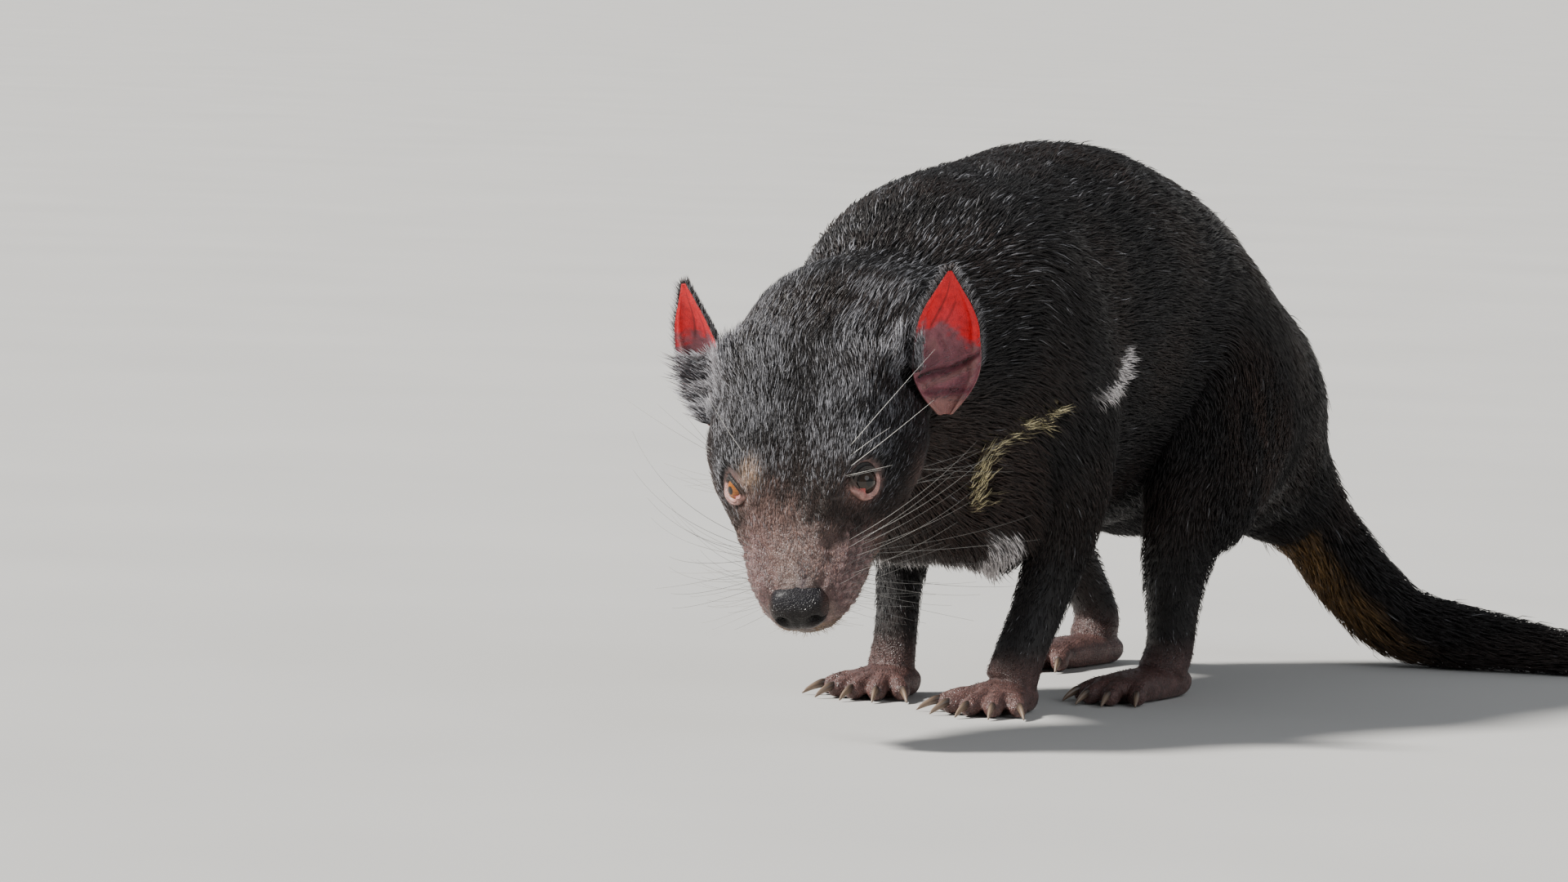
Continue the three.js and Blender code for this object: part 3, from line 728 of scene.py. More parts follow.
def markedCoat(points, where):
    # Colour of the coat, and shares of pale hair tips painted as sheen, bare skin and pale markings, by place
    # on the body
    row, angle = where["row"], where["angle"]
    onSpine, onTail, onLeg = (where["is"][k] for k in ("spine", "tail", "leg"))
    across, back, height = points.T
    head = toHead(points)
    upright = np.sin(angle)
    haunch = onLeg * bell(back, 95, 40) * bell(height, 150, 36) * ease(across, 20, 60)
    jaw = onSpine * fade(row, 6.0, 8.6) * fade(upright, -0.5, 0.35)
    throat = onSpine * bell(row, 11.6, 1.5) * fade(upright, -0.7, -0.1)
    face = onSpine * muzzleShare(points, row, angle)
    colour = painted(
        flatTone("black", len(points)),
        ("umber", ease(ripple(points, 80, 33), -0.4, 1.2) * 0.22),
        ("umber", haunch * ease(ripple(points, 26, 38), -0.5, 1.0) * 0.6),
        ("umber", np.maximum(0.65 * jaw, 0.55 * throat)),
        ("umber", onSpine * fade(row, 5.0, 6.4) * 0.35),
        ("muzzle", face * 0.9),
    )
    for hand in hands.values():
        corner = spotsOn(head, (hand * 27, -105, 13), (6, 7, 7))
        cheek = spotsOn(head, (hand * 50, -72, -14), (10, 9, 9))
        colour = painted(colour, ("muzzle", onSpine * corner * 0.85), ("muzzle", onSpine * cheek * 0.3))
    # A painted highlight: a tan spot over the right brow, on the side of the head in the light
    brow = spotsOn(head, (-24, -100.5, 26.5), (5, 6, 6.5))
    chin = onSpine * fade(row, 3.4, 5.4) * fade(upright, -0.75, -0.3)
    wrist = onLeg * fade(height, 18, 36)
    under = onTail * fade(upright, -0.8, -0.3) * fade(row, 2.5, 5.2)
    edge = 0.9 * ripple(points, 9, 31) + 0.6 * ripple(points, 3.5, 32)
    band = 1 - ease(nearRun(points, markings["band"])[0] + edge, -0.9, 1.1)
    blaze = 1 - ease(nearRun(points, markings["blaze"])[0] + 2 * edge, -1.5, 2.0)
    offPatch, _ = nearRun(points, markings["patch"], markings["patchFlatness"])
    patch = 1 - ease(offPatch + 1.5 * edge, -1.6, 2.2)
    colour = painted(
        colour,
        ("browHighlight", onSpine * brow),
        ("gold", chin * 0.8),
        ("foot", wrist * 0.75),
        ("gold", under * np.clip(0.75 + 0.25 * ripple(points, 10, 39), 0, 1)),
        ("cream", band),
        ("white", np.maximum(blaze * 0.85, patch)),
    )
    # Painted sheen: pale hair tips where the coat faces up, on the crown (less on the forehead's dark
    # streak), on the top of the back, on the lower legs and on the muzzle
    streak = bell(angle, 1.5, 0.10 + 0.03 * (row - 6)) * ease(row, 4.6, 5.6)
    crown = onSpine * ease(row, 4.7, 6.2) * fade(row, 9, 13.5) * ease(upright, -0.15, 0.7)
    backSheen = onSpine * ease(row, 9.5, 12) * ease(upright, 0.3, 0.95) * 0.14
    paleHairAndSheen = np.maximum.reduce([
        crown * (1 - 0.8 * streak) * (0.8 + 0.3 * ripple(points, 22, 34)),
        backSheen * ease(ripple(points, 30, 35), -0.6, 1.0),
        0.1 * onLeg * fade(height, 40, 90),
        0.25 * face,
    ])
    neckBare = neckBareShare(points)
    bareFoot = onLeg * fade(height, 20, 40)
    bare = np.clip(np.maximum.reduce([face * 0.9, neckBare * 0.55, bareFoot]), 0, 1)
    pale = np.maximum.reduce([band, blaze, patch])
    return colour, np.clip(paleHairAndSheen, 0, 1) * (1 - pale), bare * (1 - pale), pale


# Where each point of the skin lies: its tube, row and angle there, and the way that the hair points

forwards = np.array([0.05, -1.0, 0.0])
# The longer hair before each ear, in the head's frame
ruff = {"at": (45.5, -20, 22), "size": (11, 13, 13), "way": (0.75, 0.25, 0.6)}


def layOf(points, normals):
    each = [tubeWhere(tube, points) for tube in tubes.values()]
    away = np.stack([np.abs(where["outside"]) for where in each])
    nearest = away.argmin(0)
    pick = lambda key: np.stack([where[key] for where in each])[nearest, np.arange(len(points))]
    weight = np.exp(-(away - away.min(0)) / 7.0)
    along = sum(share[:, None] * where["along"] for share, where in zip(weight, each))
    isSpine = (nearest == 0).astype(float)
    isTail = (nearest == 1).astype(float)
    isLeg = 1 - isSpine - isTail
    foot = isLeg * fade(points[:, 2], 16, 34)
    drift = np.stack([ripple(points, 70, seed) for seed in (41, 42, 43)], 1)
    lie = unit(along) + 0.14 * drift + isLeg[:, None] * np.array([0, 0.25, 0])
    lie = unit(lie) * (1 - foot[:, None]) + forwards * foot[:, None]
    offBand, back = nearRun(points, markings["band"])
    lie = mixed(lie, back, 0.85 * fade(offBand, -1, 3))
    for name in hands:
        lie = mixed(lie, ruffWay(name), 0.9 * ruffShare(points, name))
    return {
        "row": pick("row"),
        "angle": pick("angle"),
        "outside": pick("outside"),
        "tube": nearest,
        "is": {"spine": isSpine, "tail": isTail, "leg": isLeg},
        "lie": unit(lie - normals * dot(lie, normals) * 0.9),
        "gaps": np.sort(away, 0),
    }


def ruffShare(points, name):
    at = np.array(ruff["at"]) * (hands[name], 1, 1)
    return spotsOn(toHead(points), at, np.array(ruff["size"], float))


def ruffWay(name):
    return headWay(np.array(ruff["way"]) * (hands[name], 1, 1))


tubesApart = 13.0


def straightened(points, where):
    # Places on the coat laid out flat: the run along the tube and the girth round it from the belly, with a
    # height of its own for each tube
    out = np.zeros((len(points), 3))
    for i, tube in enumerate(tubes.values()):
        on = where["tube"] == i
        run, half = atRow(tube, where["row"][on], "run", "half")
        turn = (where["angle"][on] + 1.5 * math.pi) % (2 * math.pi)
        out[on] = np.stack([run[:, 0], turn * half.mean(1), np.full(on.sum(), tubesApart * i)], 1)
    return out


# Skin

skinSizes = {
    "voxel": 1.1,
    "fillet": 26.0,  # how far round a limb's root the flesh swells
    "smoothings": 34,
    "sinkOfSocket": 2.2,
    "faceRows": 6.9,  # where the face and the feet end, which keep all their triangles
    "footHeight": 24,
    "coveredShare": 0.092,  # share of the triangles kept elsewhere
}

swellings = [
    # row, angle from the left side upwards, spread in rows and in degrees, height
    ("whisker pad", 3.4, -8, 1.2, 34, 2.2),
    ("brow", 6.15, 50, 0.75, 17, 3.4),
    ("hollow before the eye", 4.9, 32, 0.7, 20, -2.2),
    ("cheek arch", 7.2, -8, 0.9, 20, 3.4),
    ("temple", 8.0, 32, 0.8, 18, -2.4),
    ("jaw muscle", 8.0, -42, 1.1, 26, 2.4),
    ("crown muscle", 8.0, 68, 1.3, 16, 2.4),
    ("lip corner", 6.6, -24, 0.6, 14, -1.6),
    ("hollow behind the cheek", 8.95, 12, 0.62, 24, -12),
    ("mound before the ear", 8.95, 38, 0.45, 13, 4.0),
    ("breast", 12.9, -60, 0.9, 20, 14),
]
mouthRows = [(0.25, -90), (1, -54), (2, -38), (3, -35), (4, -34), (5.2, -30), (6.4, -23)]


def reliefOf(row, angle):
    # Swellings and hollows of head and breast, alike on both sides
    mirrored = mirroredAngle(angle)
    total = np.zeros_like(row)
    for _, atRowNumber, atAngle, rows, turn, height in swellings:
        u = (row - atRowNumber) / rows
        v = (mirrored - math.radians(atAngle)) / math.radians(turn)
        total += height * np.exp(-u * u - v * v)
    return total


def mouthCurve(count=120):
    line = through(mouthRows, np.linspace(0, len(mouthRows) - 1, count))
    row, below = line[:, 0], np.radians(line[:, 1])
    left = tubePoint(spine, row, below, reliefOf(row, below))
    right = tubePoint(spine, row, math.pi - below, reliefOf(row, math.pi - below))
    return np.concatenate([left[::-1], right])


def fromMouth(points):
    # Distance to the line of the mouth, and whether a place is above it
    curve = mouthCurve()
    away2 = (points**2).sum(1)[:, None] + (curve**2).sum(1) - 2 * points @ curve.T
    above = toHead(points)[:, 2] > toHead(curve)[away2.argmin(1), 2]
    return np.sqrt(np.maximum(away2.min(1), 0)), above


follicleSizes = {
    "lines": 6,
    "perLine": 7,
    "front": 148.5,  # from the nape, in mm
    "step": 4.3,
    "lowest": -25,  # in degrees round the head
    "between": 11.5,
    "rise": 0.9,
}
rowNumbers = np.arange(headRowCount)
rowDistances = [headLength - r[0] for r in headRows]  # from the front of the nose


def folliclesOf():
    # Whisker roots of one side: lines along the upper lip, as rows and angles of the head
    perLine = follicleSizes["perLine"]
    line, k = np.divmod(np.arange(follicleSizes["lines"] * perLine), perLine)
    back = headLength - follicleSizes["front"] + (k + 0.5 * (line % 2)) * follicleSizes["step"]
    angle = follicleSizes["lowest"] + line * follicleSizes["between"] + follicleSizes["rise"] * k
    return np.stack([np.interp(back, rowDistances, rowNumbers), np.radians(angle)], 1)


follicles = folliclesOf()


def follicleShare(row, angle, size):
    # 1 at each whisker root, falling away over a size in mm along the head and round it
    mirrored = mirroredAngle(angle)
    back = np.interp(row, rowNumbers, rowDistances)
    girth = atRow(spine, row, "half")[0].mean(1)
    share = np.zeros_like(row)
    for atRowNumber, atAngle in follicles:
        u = back - np.interp(atRowNumber, rowNumbers, rowDistances)
        v = (mirrored - atAngle) * girth
        share = np.maximum(share, np.exp(-(u * u + v * v) / size**2))
    return share


def faceDetail(points, row, angle):
    # Lips on both sides of the mouth's groove, whisker roots, folds round the muzzle and uneven flesh
    away, above = fromMouth(points)
    height = -2.3 * bell(away, 0, 1.4)
    height += np.where(above, 1.5 * bell(away, 4.4, 2.6), 1.3 * bell(away, 3.8, 2.2))
    mirrored = mirroredAngle(angle)
    back = np.interp(row, rowNumbers, rowDistances)
    height += 1.5 * follicleShare(row, angle, 1.5) - 0.6 * follicleShare(row, angle, 0.6)
    crease = bell(mirrored, 1.08 - 0.05 * row, 0.13) * ease(row, 0.8, 1.6) * fade(row, 3.4, 4.4)
    height -= 1.3 * crease
    height += 0.9 * bell(mirrored, 0.66, 0.26) * ease(row, 1.2, 2.2) * fade(row, 3.6, 4.6)
    fold = np.sin(row * 11.0 + 2.4 * mirrored + 0.9 * ripple(points, 14, 51))
    height += 0.3 * fold * bell(row, 4.7, 1.0) * bell(mirrored, 0.55, 0.5)
    wrinkle = np.sin(back * 1.5 + 5 * mirrored + ripple(points, 10, 54))
    height += 0.16 * wrinkle * fade(row, 2.4, 3.6) * bell(mirrored, 1.4, 0.5)
    height += 0.5 * ripple(points, 9, 52) * fade(row, 4, 7)
    return height + 0.3 * ripple(points, 3.4, 53) * fade(row, 3, 5)


def footParts(name):
    # Palm and toes as closed tubes, on the floor
    palm = palms[name]
    fore = name.startswith("fore")
    heading = math.radians(palm["heading"])
    forward = np.array([math.sin(heading), -math.cos(heading), 0])
    side = np.array([math.cos(heading), math.sin(heading), 0])
    at = np.array([*palm["at"], 8.0])
    stations = [
        (*(at + forward * along * palm["length"]), palm["halfWidth"] * wide, up, down, 0.3)
        for along, wide, up, down in palmRows
    ]
    tubesOfFoot = [makeTube(stations, [side], 2.3)]
    toes = []
    turns = toeTurns["fore" if fore else "hind"]
    for k, (turn, share) in enumerate(turns):
        aim = math.radians(palm["heading"] + turn * 0.72)
        pointing = np.array([math.sin(aim), -math.cos(aim), 0])
        toeSide = np.array([math.cos(aim), math.sin(aim), 0])
        place = ((k + 0.5) / len(turns) - 0.5) * 2
        root = np.array([*palm["at"], toe["height"]])
        root = root + forward * palm["length"] * (0.92 - 0.42 * place * place)
        root = root + side * place * (palm["halfWidth"] - toe["radius"] * 0.7)
        reach = toe["reach"] * share
        toeStations = [
            (*(root + pointing * along * reach + [0, 0, rise]), *(toe["radius"] * size,) * 3, 0.25)
            for along, rise, size in toe["rows"]
        ]
        tubesOfFoot.append(makeTube(toeStations, [toeSide], 2.0))
        tip = root + pointing * 0.93 * reach + [0, 0, -1.4]
        toes.append({"tip": tip, "pointing": pointing, "side": toeSide})
    return tubesOfFoot, toes


palmRows = [
    # along the foot, width, up, down
    (-1.12, 0.35, 3, 3),
    (-1.0, 0.72, 8, 7),
    (-0.5, 0.86, 14, 8.5),
    (0.1, 0.94, 14.5, 9),
    (0.65, 1, 11, 8),
    (1.05, 0.9, 7.5, 6.5),
    (1.2, 0.55, 4, 4),
]
toeTurns = {
    "fore": [(-58, 0.8), (-27, 0.95), (0, 1), (27, 0.95), (56, 0.8)],
    "hind": [(-33, 0.9), (-11, 1), (11, 1), (33, 0.9)],
}
toe = {
    "radius": 5.6,
    "height": 6.8,
    "reach": 25,
    "rows": [  # along the toe, rise, size: the knuckle stands up and the pad is fullest before the claw
        (-0.3, 0, 0.85),
        (0.2, 1.6, 0.98),
        (0.5, 0.9, 0.92),
        (0.8, -1.9, 1),
        (0.97, -3.1, 0.72),
        (1.03, -3.4, 0.3),
    ],
}


def tubeGrid(tube, rings, sides, relief=None):
    row, angle = np.meshgrid(rings, roundTurn(sides), indexing="ij")
    lift = relief(row.ravel(), angle.ravel()).reshape(row.shape) if relief else np.zeros_like(row)
    return closedTube(tubePoint(tube, row, angle, lift))


def earBall(ear):
    # The fleshy base behind the cup: a rounded block, less the depth of its hair
    foot, axis, facing, across = earFrame(ear)
    centre = foot - facing * earBase["behind"] + axis * earBase["up"]
    polar, turn = np.meshgrid(np.linspace(0, math.pi, 30)[1:-1], np.arange(40) * math.pi / 20, indexing="ij")
    rings = [
        np.cos(polar) * (earBase["high"] - earBase["coat"]),
        np.sin(polar) * np.cos(turn) * (earBase["wide"] - earBase["coat"]),
        np.sin(polar) * np.sin(turn) * (earBase["deep"] - earBase["coat"]),
    ]
    ways = (axis, across, facing)
    return closedTube(centre + sum(size[..., None] * way for size, way in zip(rings, ways)))


def roughBody():
    # All lofts of the flesh, still passing through each other
    parts = [tubeGrid(spine, np.linspace(0, spine["last"], 400), 200, reliefOf)]
    parts.append(tubeGrid(tail, np.linspace(0, tail["last"], 120), 64))
    parts += [earBall(ear) for ear in ears.values()]
    for name, leg in legs.items():
        parts.append(tubeGrid(leg, np.linspace(0, leg["last"], 130), 64))
        footTubes, _ = footParts(name)
        parts += [tubeGrid(t, np.linspace(0, t["last"], 36), 28) for t in footTubes]
    points, faces = merged(parts)
    points[:, 2] = np.maximum(points[:, 2], 0.25)
    return newMesh("roughBody", points, faces)


def readMesh(mesh):
    points = np.empty(len(mesh.vertices) * 3, np.float32)
    mesh.vertices.foreach_get("co", points)
    edges = np.empty(len(mesh.edges) * 2, np.int32)
    mesh.edges.foreach_get("vertices", edges)
    return (points.reshape(-1, 3).astype(float) - shift) * 1000, edges.reshape(-1, 2)


def normalsOf(mesh):
    normals = np.empty(len(mesh.vertices) * 3, np.float32)
    mesh.vertex_normals.foreach_get("vector", normals)
    return normals.reshape(-1, 3).astype(float)


def writePoints(mesh, points):
    mesh.vertices.foreach_set("co", world(points).astype(np.float32).ravel())
    mesh.update()


def smoothed(points, edges, weight):
    # Each point moves towards the middle of its neighbours, by a weight of its own
    a, b = edges[:, 0], edges[:, 1]
    total = len(points)
    count = np.maximum(np.bincount(a, minlength=total) + np.bincount(b, minlength=total), 1)
    for _ in range(skinSizes["smoothings"]):
        middle = np.stack([
            np.bincount(a, points[b, k], total) + np.bincount(b, points[a, k], total) for k in range(3)
        ], 1) / count[:, None]
        points = points + (middle - points) * weight[:, None]
    return points


def eyeAxes(spot):
    look = headWay(spot["look"])
    slant = headWay(spot["slant"])
    slant = unit(slant - look * (slant @ look))
    high = np.cross(look, slant) * (1 if np.cross(look, slant)[2] > 0 else -1)
    return inHead(spot["centre"]), look, slant, high


def fromEye(points, spot):
    return np.linalg.norm(points - inHead(spot["centre"]), axis=1)


def socketed(points):
    # Round each eye the skin swells over the ball, and inside the lids' opening it sinks behind the ball
    for spot in eyeSpots.values():
        centre, look, slant, high = eyeAxes(spot)
        off = points - centre
        away = np.linalg.norm(off, axis=1)
        near = away < 22
        way = off[near] / away[near, None]
        facing = way @ look
        swollen = np.maximum(away[near], (eyeRadius + 1.1) * ease(facing, 0.0, 0.35))
        u = np.arccos(np.clip(facing, -1, 1)) * eyeRadius
        around = np.arctan2(way @ high, way @ slant)
        long, tall = spot["open"]
        reach = u / np.hypot(long * np.cos(around), tall * np.sin(around))
        inside = fade(reach, 1.12, 1.3) * (facing > 0)
        depth = swollen * (1 - inside) + (eyeRadius - skinSizes["sinkOfSocket"]) * inside
        points[near] = centre + way * depth[:, None]
    return points


def buildSkin():
    mesh = withModifier(roughBody(), "REMESH", mode="VOXEL", voxel_size=skinSizes["voxel"] / 1000)
    points, edges = readMesh(mesh)
    print("skin: remeshed to", len(points), "vertices")
    where = layOf(points, normalsOf(mesh))
    gaps = where["gaps"]
    fillet = skinSizes["fillet"]
    closeness = np.maximum(fillet - (gaps[1] - gaps[0]), 0) / fillet
    low = where["is"]["leg"] * fade(points[:, 2], 20, 40)
    points += normalsOf(mesh) * (fillet / 4 * closeness**2 * (1 - low))[:, None]
    crease = ease(closeness, 0.1, 0.7) * (1 - low)
    points = smoothed(points, edges, 0.15 + 0.5 * crease)
    relief = reliefOf(where["row"], where["angle"])
    onHead = where["is"]["spine"] * fade(where["row"], 9.0, 10.0) * ease(where["row"], 0.35, 0.5)
    onHead = onHead * ease(relief - where["outside"], -4.5, -2.0)
    inner = onHead > 0
    place = tubeWhere(spine, points[inner])
    row, angle = place["row"], place["angle"]
    detail = faceDetail(tubePoint(spine, row, angle, reliefOf(row, angle)), row, angle)
    exact = tubePoint(spine, row, angle, reliefOf(row, angle) + detail)
    points[inner] += (exact - points[inner]) * onHead[inner][:, None]
    points = socketed(points)
    points[:, 2] = np.maximum(points[:, 2], 0.2)
    writePoints(mesh, points)
    face = where["is"]["spine"] * (where["row"] < skinSizes["faceRows"])
    foot = where["is"]["leg"] * (points[:, 2] < skinSizes["footHeight"])
    covered = (face + foot) < 0.5
    kept = 1 - covered.mean() * (1 - skinSizes["coveredShare"])
    mesh = withModifier(mesh, "DECIMATE", covered, ratio=kept)
    points, _ = readMesh(mesh)
    where = layOf(points, normalsOf(mesh))
    colour, paleHairAndSheen, bare, _ = markedCoat(points, where)
    paint(mesh, "tint", skinColours(points, where, colour, paleHairAndSheen))
    paint(mesh, "bare", bare, "FLOAT")
    paint(mesh, "lay", straightened(points, where), "FLOAT_VECTOR")
    mesh.shade_smooth()
    print("skin:", len(mesh.polygons), "faces")
    flesh = [n for n in frame["nodes"] if not n.startswith(("eye", "ear", "nose")) and "claw" not in n]
    return newPiece("skin", mesh, skinMaterial(), "coat", *flesh), where


def skinColours(points, where, colour, paleHairAndSheen):
    # The skin's colour: dark under a thick coat and the coat's colour where hair is short, with a mottled
    # muzzle, brown lips and pink rims round the eyes, and painted light: sheen on the head, highlights on the
    # muzzle and shade between whisker roots
    row, angle = where["row"], where["angle"]
    height = points[:, 2]
    onSpine, onLeg = where["is"]["spine"], where["is"]["leg"]
    mirrored = mirroredAngle(angle)
    face = onSpine * muzzleShare(points, row, angle)
    pad = face * bell(mirrored, 0.25, 0.75) * ease(row, 0.8, 1.8)
    bridge = face * bell(np.abs(angle - 1.5), 0, 0.45) * bell(row, 1.9, 1.3)
    midline = face * bell(angle, 1.42, 0.10) * ease(row, 0.5, 1.0) * fade(row, 2.4, 3.4)
    mottle = ease(ripple(points, 5.0, 62) + 0.6 * ripple(points, 2.4, 63), 0.1, 1.5)
    near = onSpine * (row < 8) > 0
    root = np.zeros(len(points))
    root[near] = follicleShare(row[near], angle[near], 1.7)
    offMouth = np.full(len(points), 1e3)
    offMouth[near], _ = fromMouth(points[near])
    toesPink = onLeg * fade(height, 8, 24)
    knuckle = onLeg * ease(ripple(points, 4.5, 64), 0.3, 1.6) * fade(height, 12, 30)
    tint = painted(
        colour * 0.8,
        # painted sheen of the coat, faint on the skin of the head
        ("paleHairAndSheen", paleHairAndSheen * fade(row, 4.5, 7.0) * onSpine * 0.2),
        ("pad", 0.8 * pad),
        # the top of the muzzle lighter and greyer: partly its grey hair, partly a painted highlight
        ("bridge", 0.7 * bridge),
        ("midline", 0.75 * midline),
        ("mottle", 0.75 * face * mottle),
        # painted shade between the whisker roots, and paler root tops that are partly a painted highlight
        ("shadeBetweenFollicles", 0.6 * pad * (1 - root)),
        ("follicleTopPaleAndLit", 0.6 * root),
        ("lip", 0.85 * bell(offMouth, 0, 2.8)),
        ("umber", neckBareShare(points, 0.8) * 0.8),
        *[("rim", 0.35 * bell(fromEye(points, spot), 9, 3.0)) for spot in eyeSpots.values()],
        ("foot", toesPink * np.clip(0.75 + 0.3 * ripple(points, 8, 61), 0, 1)),
        ("knuckle", 0.6 * knuckle),
    )
    return np.clip(tint, 0.002, 1)


# Eyes and lids

eye = {
    "sides": 72,
    "inset": 0.12,
    "cornea": 0.55,
    "corneaAngle": 0.62,  # in radians from the look direction, as the next one
    "irisAngle": 0.86,
    # The left iris in its own dark brown; the right one amber, painted as lit by the light
    "irisesRightLit": {"left": (0.022, 0.011, 0.005), "right": (0.30, 0.10, 0.018)},
    "pupil": (0.002, 0.0015, 0.001, 1),
    "limbus": (0.012, 0.007, 0.005, 1),
    "white": (0.09, 0.035, 0.028, 1),
}


def eyeMaterial(side):
    # Iris rings and fibres round the pupil, by the painted distance from the middle of the eye
    recipe = Recipe(f"eye{side.capitalize()}Finish", Roughness=0.05, Specular_IOR_Level=0.5)
    out = recipe.attribute("fromPupil", "Fac")
    fibre = recipe.noise(recipe.attribute("fibre", "Vector"), 9.0, 3.0)
    colour = recipe.times(eye["irisesRightLit"][side], recipe.ranged(fibre, 0.3, 0.7, 0.55, 1.5))
    colour = recipe.blend(recipe.ranged(out, 0.27, 0.34), eye["pupil"], colour)
    colour = recipe.blend(recipe.ranged(out, 0.72, 0.86), colour, eye["limbus"])
    return recipe.end(Base_Color=recipe.blend(recipe.ranged(out, 1.0, 1.15), colour, eye["white"]))


def buildEye(side):
    # A ball with the cornea's low dome round the look direction
    centre, look, slant, high = eyeAxes(eyeSpots[side])
    sides = eye["sides"]
    away = np.linspace(0, math.pi, sides)[1:-1]
    a, t = np.meshgrid(away, roundTurn(sides), indexing="ij")
    radius = eyeRadius - eye["inset"] + eye["cornea"] * np.exp(-((a / eye["corneaAngle"]) ** 4))
    a, t = a[..., None], t[..., None]
    way = np.cos(a) * look + np.sin(a) * np.cos(t) * slant + np.sin(a) * np.sin(t) * high
    points, faces = closedTube(centre + way * radius[..., None])
    mesh = newMesh("eye" + side.capitalize(), points, outwards(faces, look, slant, high))
    off = unit(points - centre)
    angle = np.arccos(np.clip(off @ look, -1, 1))
    around = np.arctan2(off @ high, off @ slant)
    paint(mesh, "fromPupil", angle / eye["irisAngle"], "FLOAT")
    fibre = np.stack([np.cos(around) * 1.6, np.sin(around) * 1.6, angle * 0.25], 1)
    paint(mesh, "fibre", fibre, "FLOAT_VECTOR")
    return newPiece(mesh.name, mesh, eyeMaterial(side), "eye", "eye_" + side)


def outwards(faces, look, slant, high):
    # Faces made round the look direction, turned about where its axes are left-handed
    return [f[:, ::-1] for f in faces] if np.cross(slant, high) @ look < 0 else faces


lids = {
    "thickness": 1.8,
    "around": 140,
    "across": 34,
    "outer": 1.8,  # how far the lids reach, as a share of the opening
}
lidFolds = [
    # 1 for the upper lid and -1 for the lower, place across it, spread, height
    ("fold above the lid", 1, 0.5, 0.17, 0.9),
    ("crease under that fold", 1, 0.33, 0.06, -0.8),
    ("bag under the eye", -1, 0.46, 0.12, 0.6),
    ("crease over the bag", -1, 0.30, 0.05, -0.5),
    ("crease under the bag", -1, 0.62, 0.05, -0.4),
]


def lidMaterial():
    recipe = Recipe(
        "lidFinish",
        Specular_IOR_Level=0.5,
        Subsurface_Weight=0.15,
        Subsurface_Scale=0.002,
        Subsurface_Radius=(1.0, 0.3, 0.2),
    )
    grain = recipe.effect(skinGrain, Place=recipe.place(), Scale=900.0)
    colour = recipe.times(recipe.attribute("tint"), recipe.ranged(grain["Mask"], 0.0, 1.0, 0.75, 1.06))
    rough = recipe.ranged(recipe.attribute("wet", "Fac"), 0.0, 1.0, 0.48, 0.14)
    return recipe.end(Base_Color=colour, Roughness=rough, Normal=recipe.bump(grain["Height"], 0.4, 0.0004))


def buildLids(side):
    # Rings round the opening: from under the lid over its rounded edge and out to the face
    centre, look, slant, high = eyeAxes(eyeSpots[side])
    long, tall = eyeSpots[side]["open"]
    around = roundTurn(lids["around"])
    v, u = np.meshgrid(np.linspace(0, 1, lids["across"]), around, indexing="ij")
    upper = np.clip(np.sin(u), 0, 1)
    corner = bell(u, math.pi + 0.25, 0.5)  # the inner corner, where a small wedge of flesh covers the ball
    start = 0.86 - 0.42 * corner
    reach = np.hypot(long * np.cos(u), tall * np.sin(u)) * (start + (lids["outer"] - start) * v**1.3)
    theta = (reach / eyeRadius)[..., None]
    lateral = unit(np.cos(u)[..., None] * slant * long + np.sin(u)[..., None] * high * tall)
    way = np.cos(theta) * look + np.sin(theta) * lateral
    edge = ease(v, 0.04 + 0.12 * corner, 0.2 + 0.1 * corner)
    radius = eyeRadius + 0.15 + 0.3 * corner + lids["thickness"] * edge
    for _, lid, at, spread, height in lidFolds:
        radius += height * np.clip(lid * np.sin(u), 0, 1) * bell(v, at, spread)
    ballPoints = centre + way * radius[..., None]
    place = tubeWhere(spine, ballPoints.reshape(-1, 3))
    relief = reliefOf(place["row"], place["angle"])
    face = tubePoint(spine, place["row"], place["angle"], relief - 0.7).reshape(ballPoints.shape)
    away = np.linalg.norm(face - centre, axis=-1, keepdims=True)
    face = centre + (face - centre) * np.maximum(away, eyeRadius + 0.55) / away
    settle = ease(v, 0.5, 1.0)[..., None]
    points = (ballPoints * (1 - settle) + face * settle).reshape(-1, 3)
    faces = outwards([ringFaces(lids["across"], lids["around"])], look, slant, high)
    mesh = newMesh("lids" + side.capitalize(), points, faces)
    colour, *_ = markedCoat(points, layOf(points, unit(points - centre)))
    rim = ease(v, 0.0, 0.08) * fade(v, 0.36, 0.62) * (1 - ease(np.sin(u + 0.35), -0.1, 0.35))
    lash = fade(v, 0.22, 0.3) * ease(v, 0.14, 0.2) * (0.35 + 0.65 * upper) * (1 - corner)
    tint = painted(
        colour * 0.7,
        ("umber", (0.5 * (1 - upper)).ravel()),
        ("rim", (rim * (0.86 + 0.14 * np.sin(9 * u))).ravel()),
        ("eyeCorner", (corner * fade(v, 0.12, 0.3)).ravel()),
        ("lash", 0.75 * lash.ravel()),
    )
    paint(mesh, "tint", tint)
    paint(mesh, "wet", (bell(v, 0.04, 0.1) * (0.6 + 0.4 * corner)).ravel(), "FLOAT")
    return newPiece(mesh.name, mesh, lidMaterial(), "bare_skin")


# Nose pad

nose = {
    "rings": 120,
    "sides": 170,
    "halfWidth": 16.5,
    "halfHeight": 10.8,
    "halfDepth": 9.2,
    "squareness": 0.82,
    "narrowing": 0.16,
    "lean": 2.2,  # how far the top stands back, in mm
    "bareAround": (17.5, 13, 12.5),  # half sizes of the space without hair round it
    "from": headLength - 3.5,
    "rise": -9.5,
    "hole": (7.9, -0.8),  # across and up from the pad's middle
    "slit": (12.5, -2.8),
}


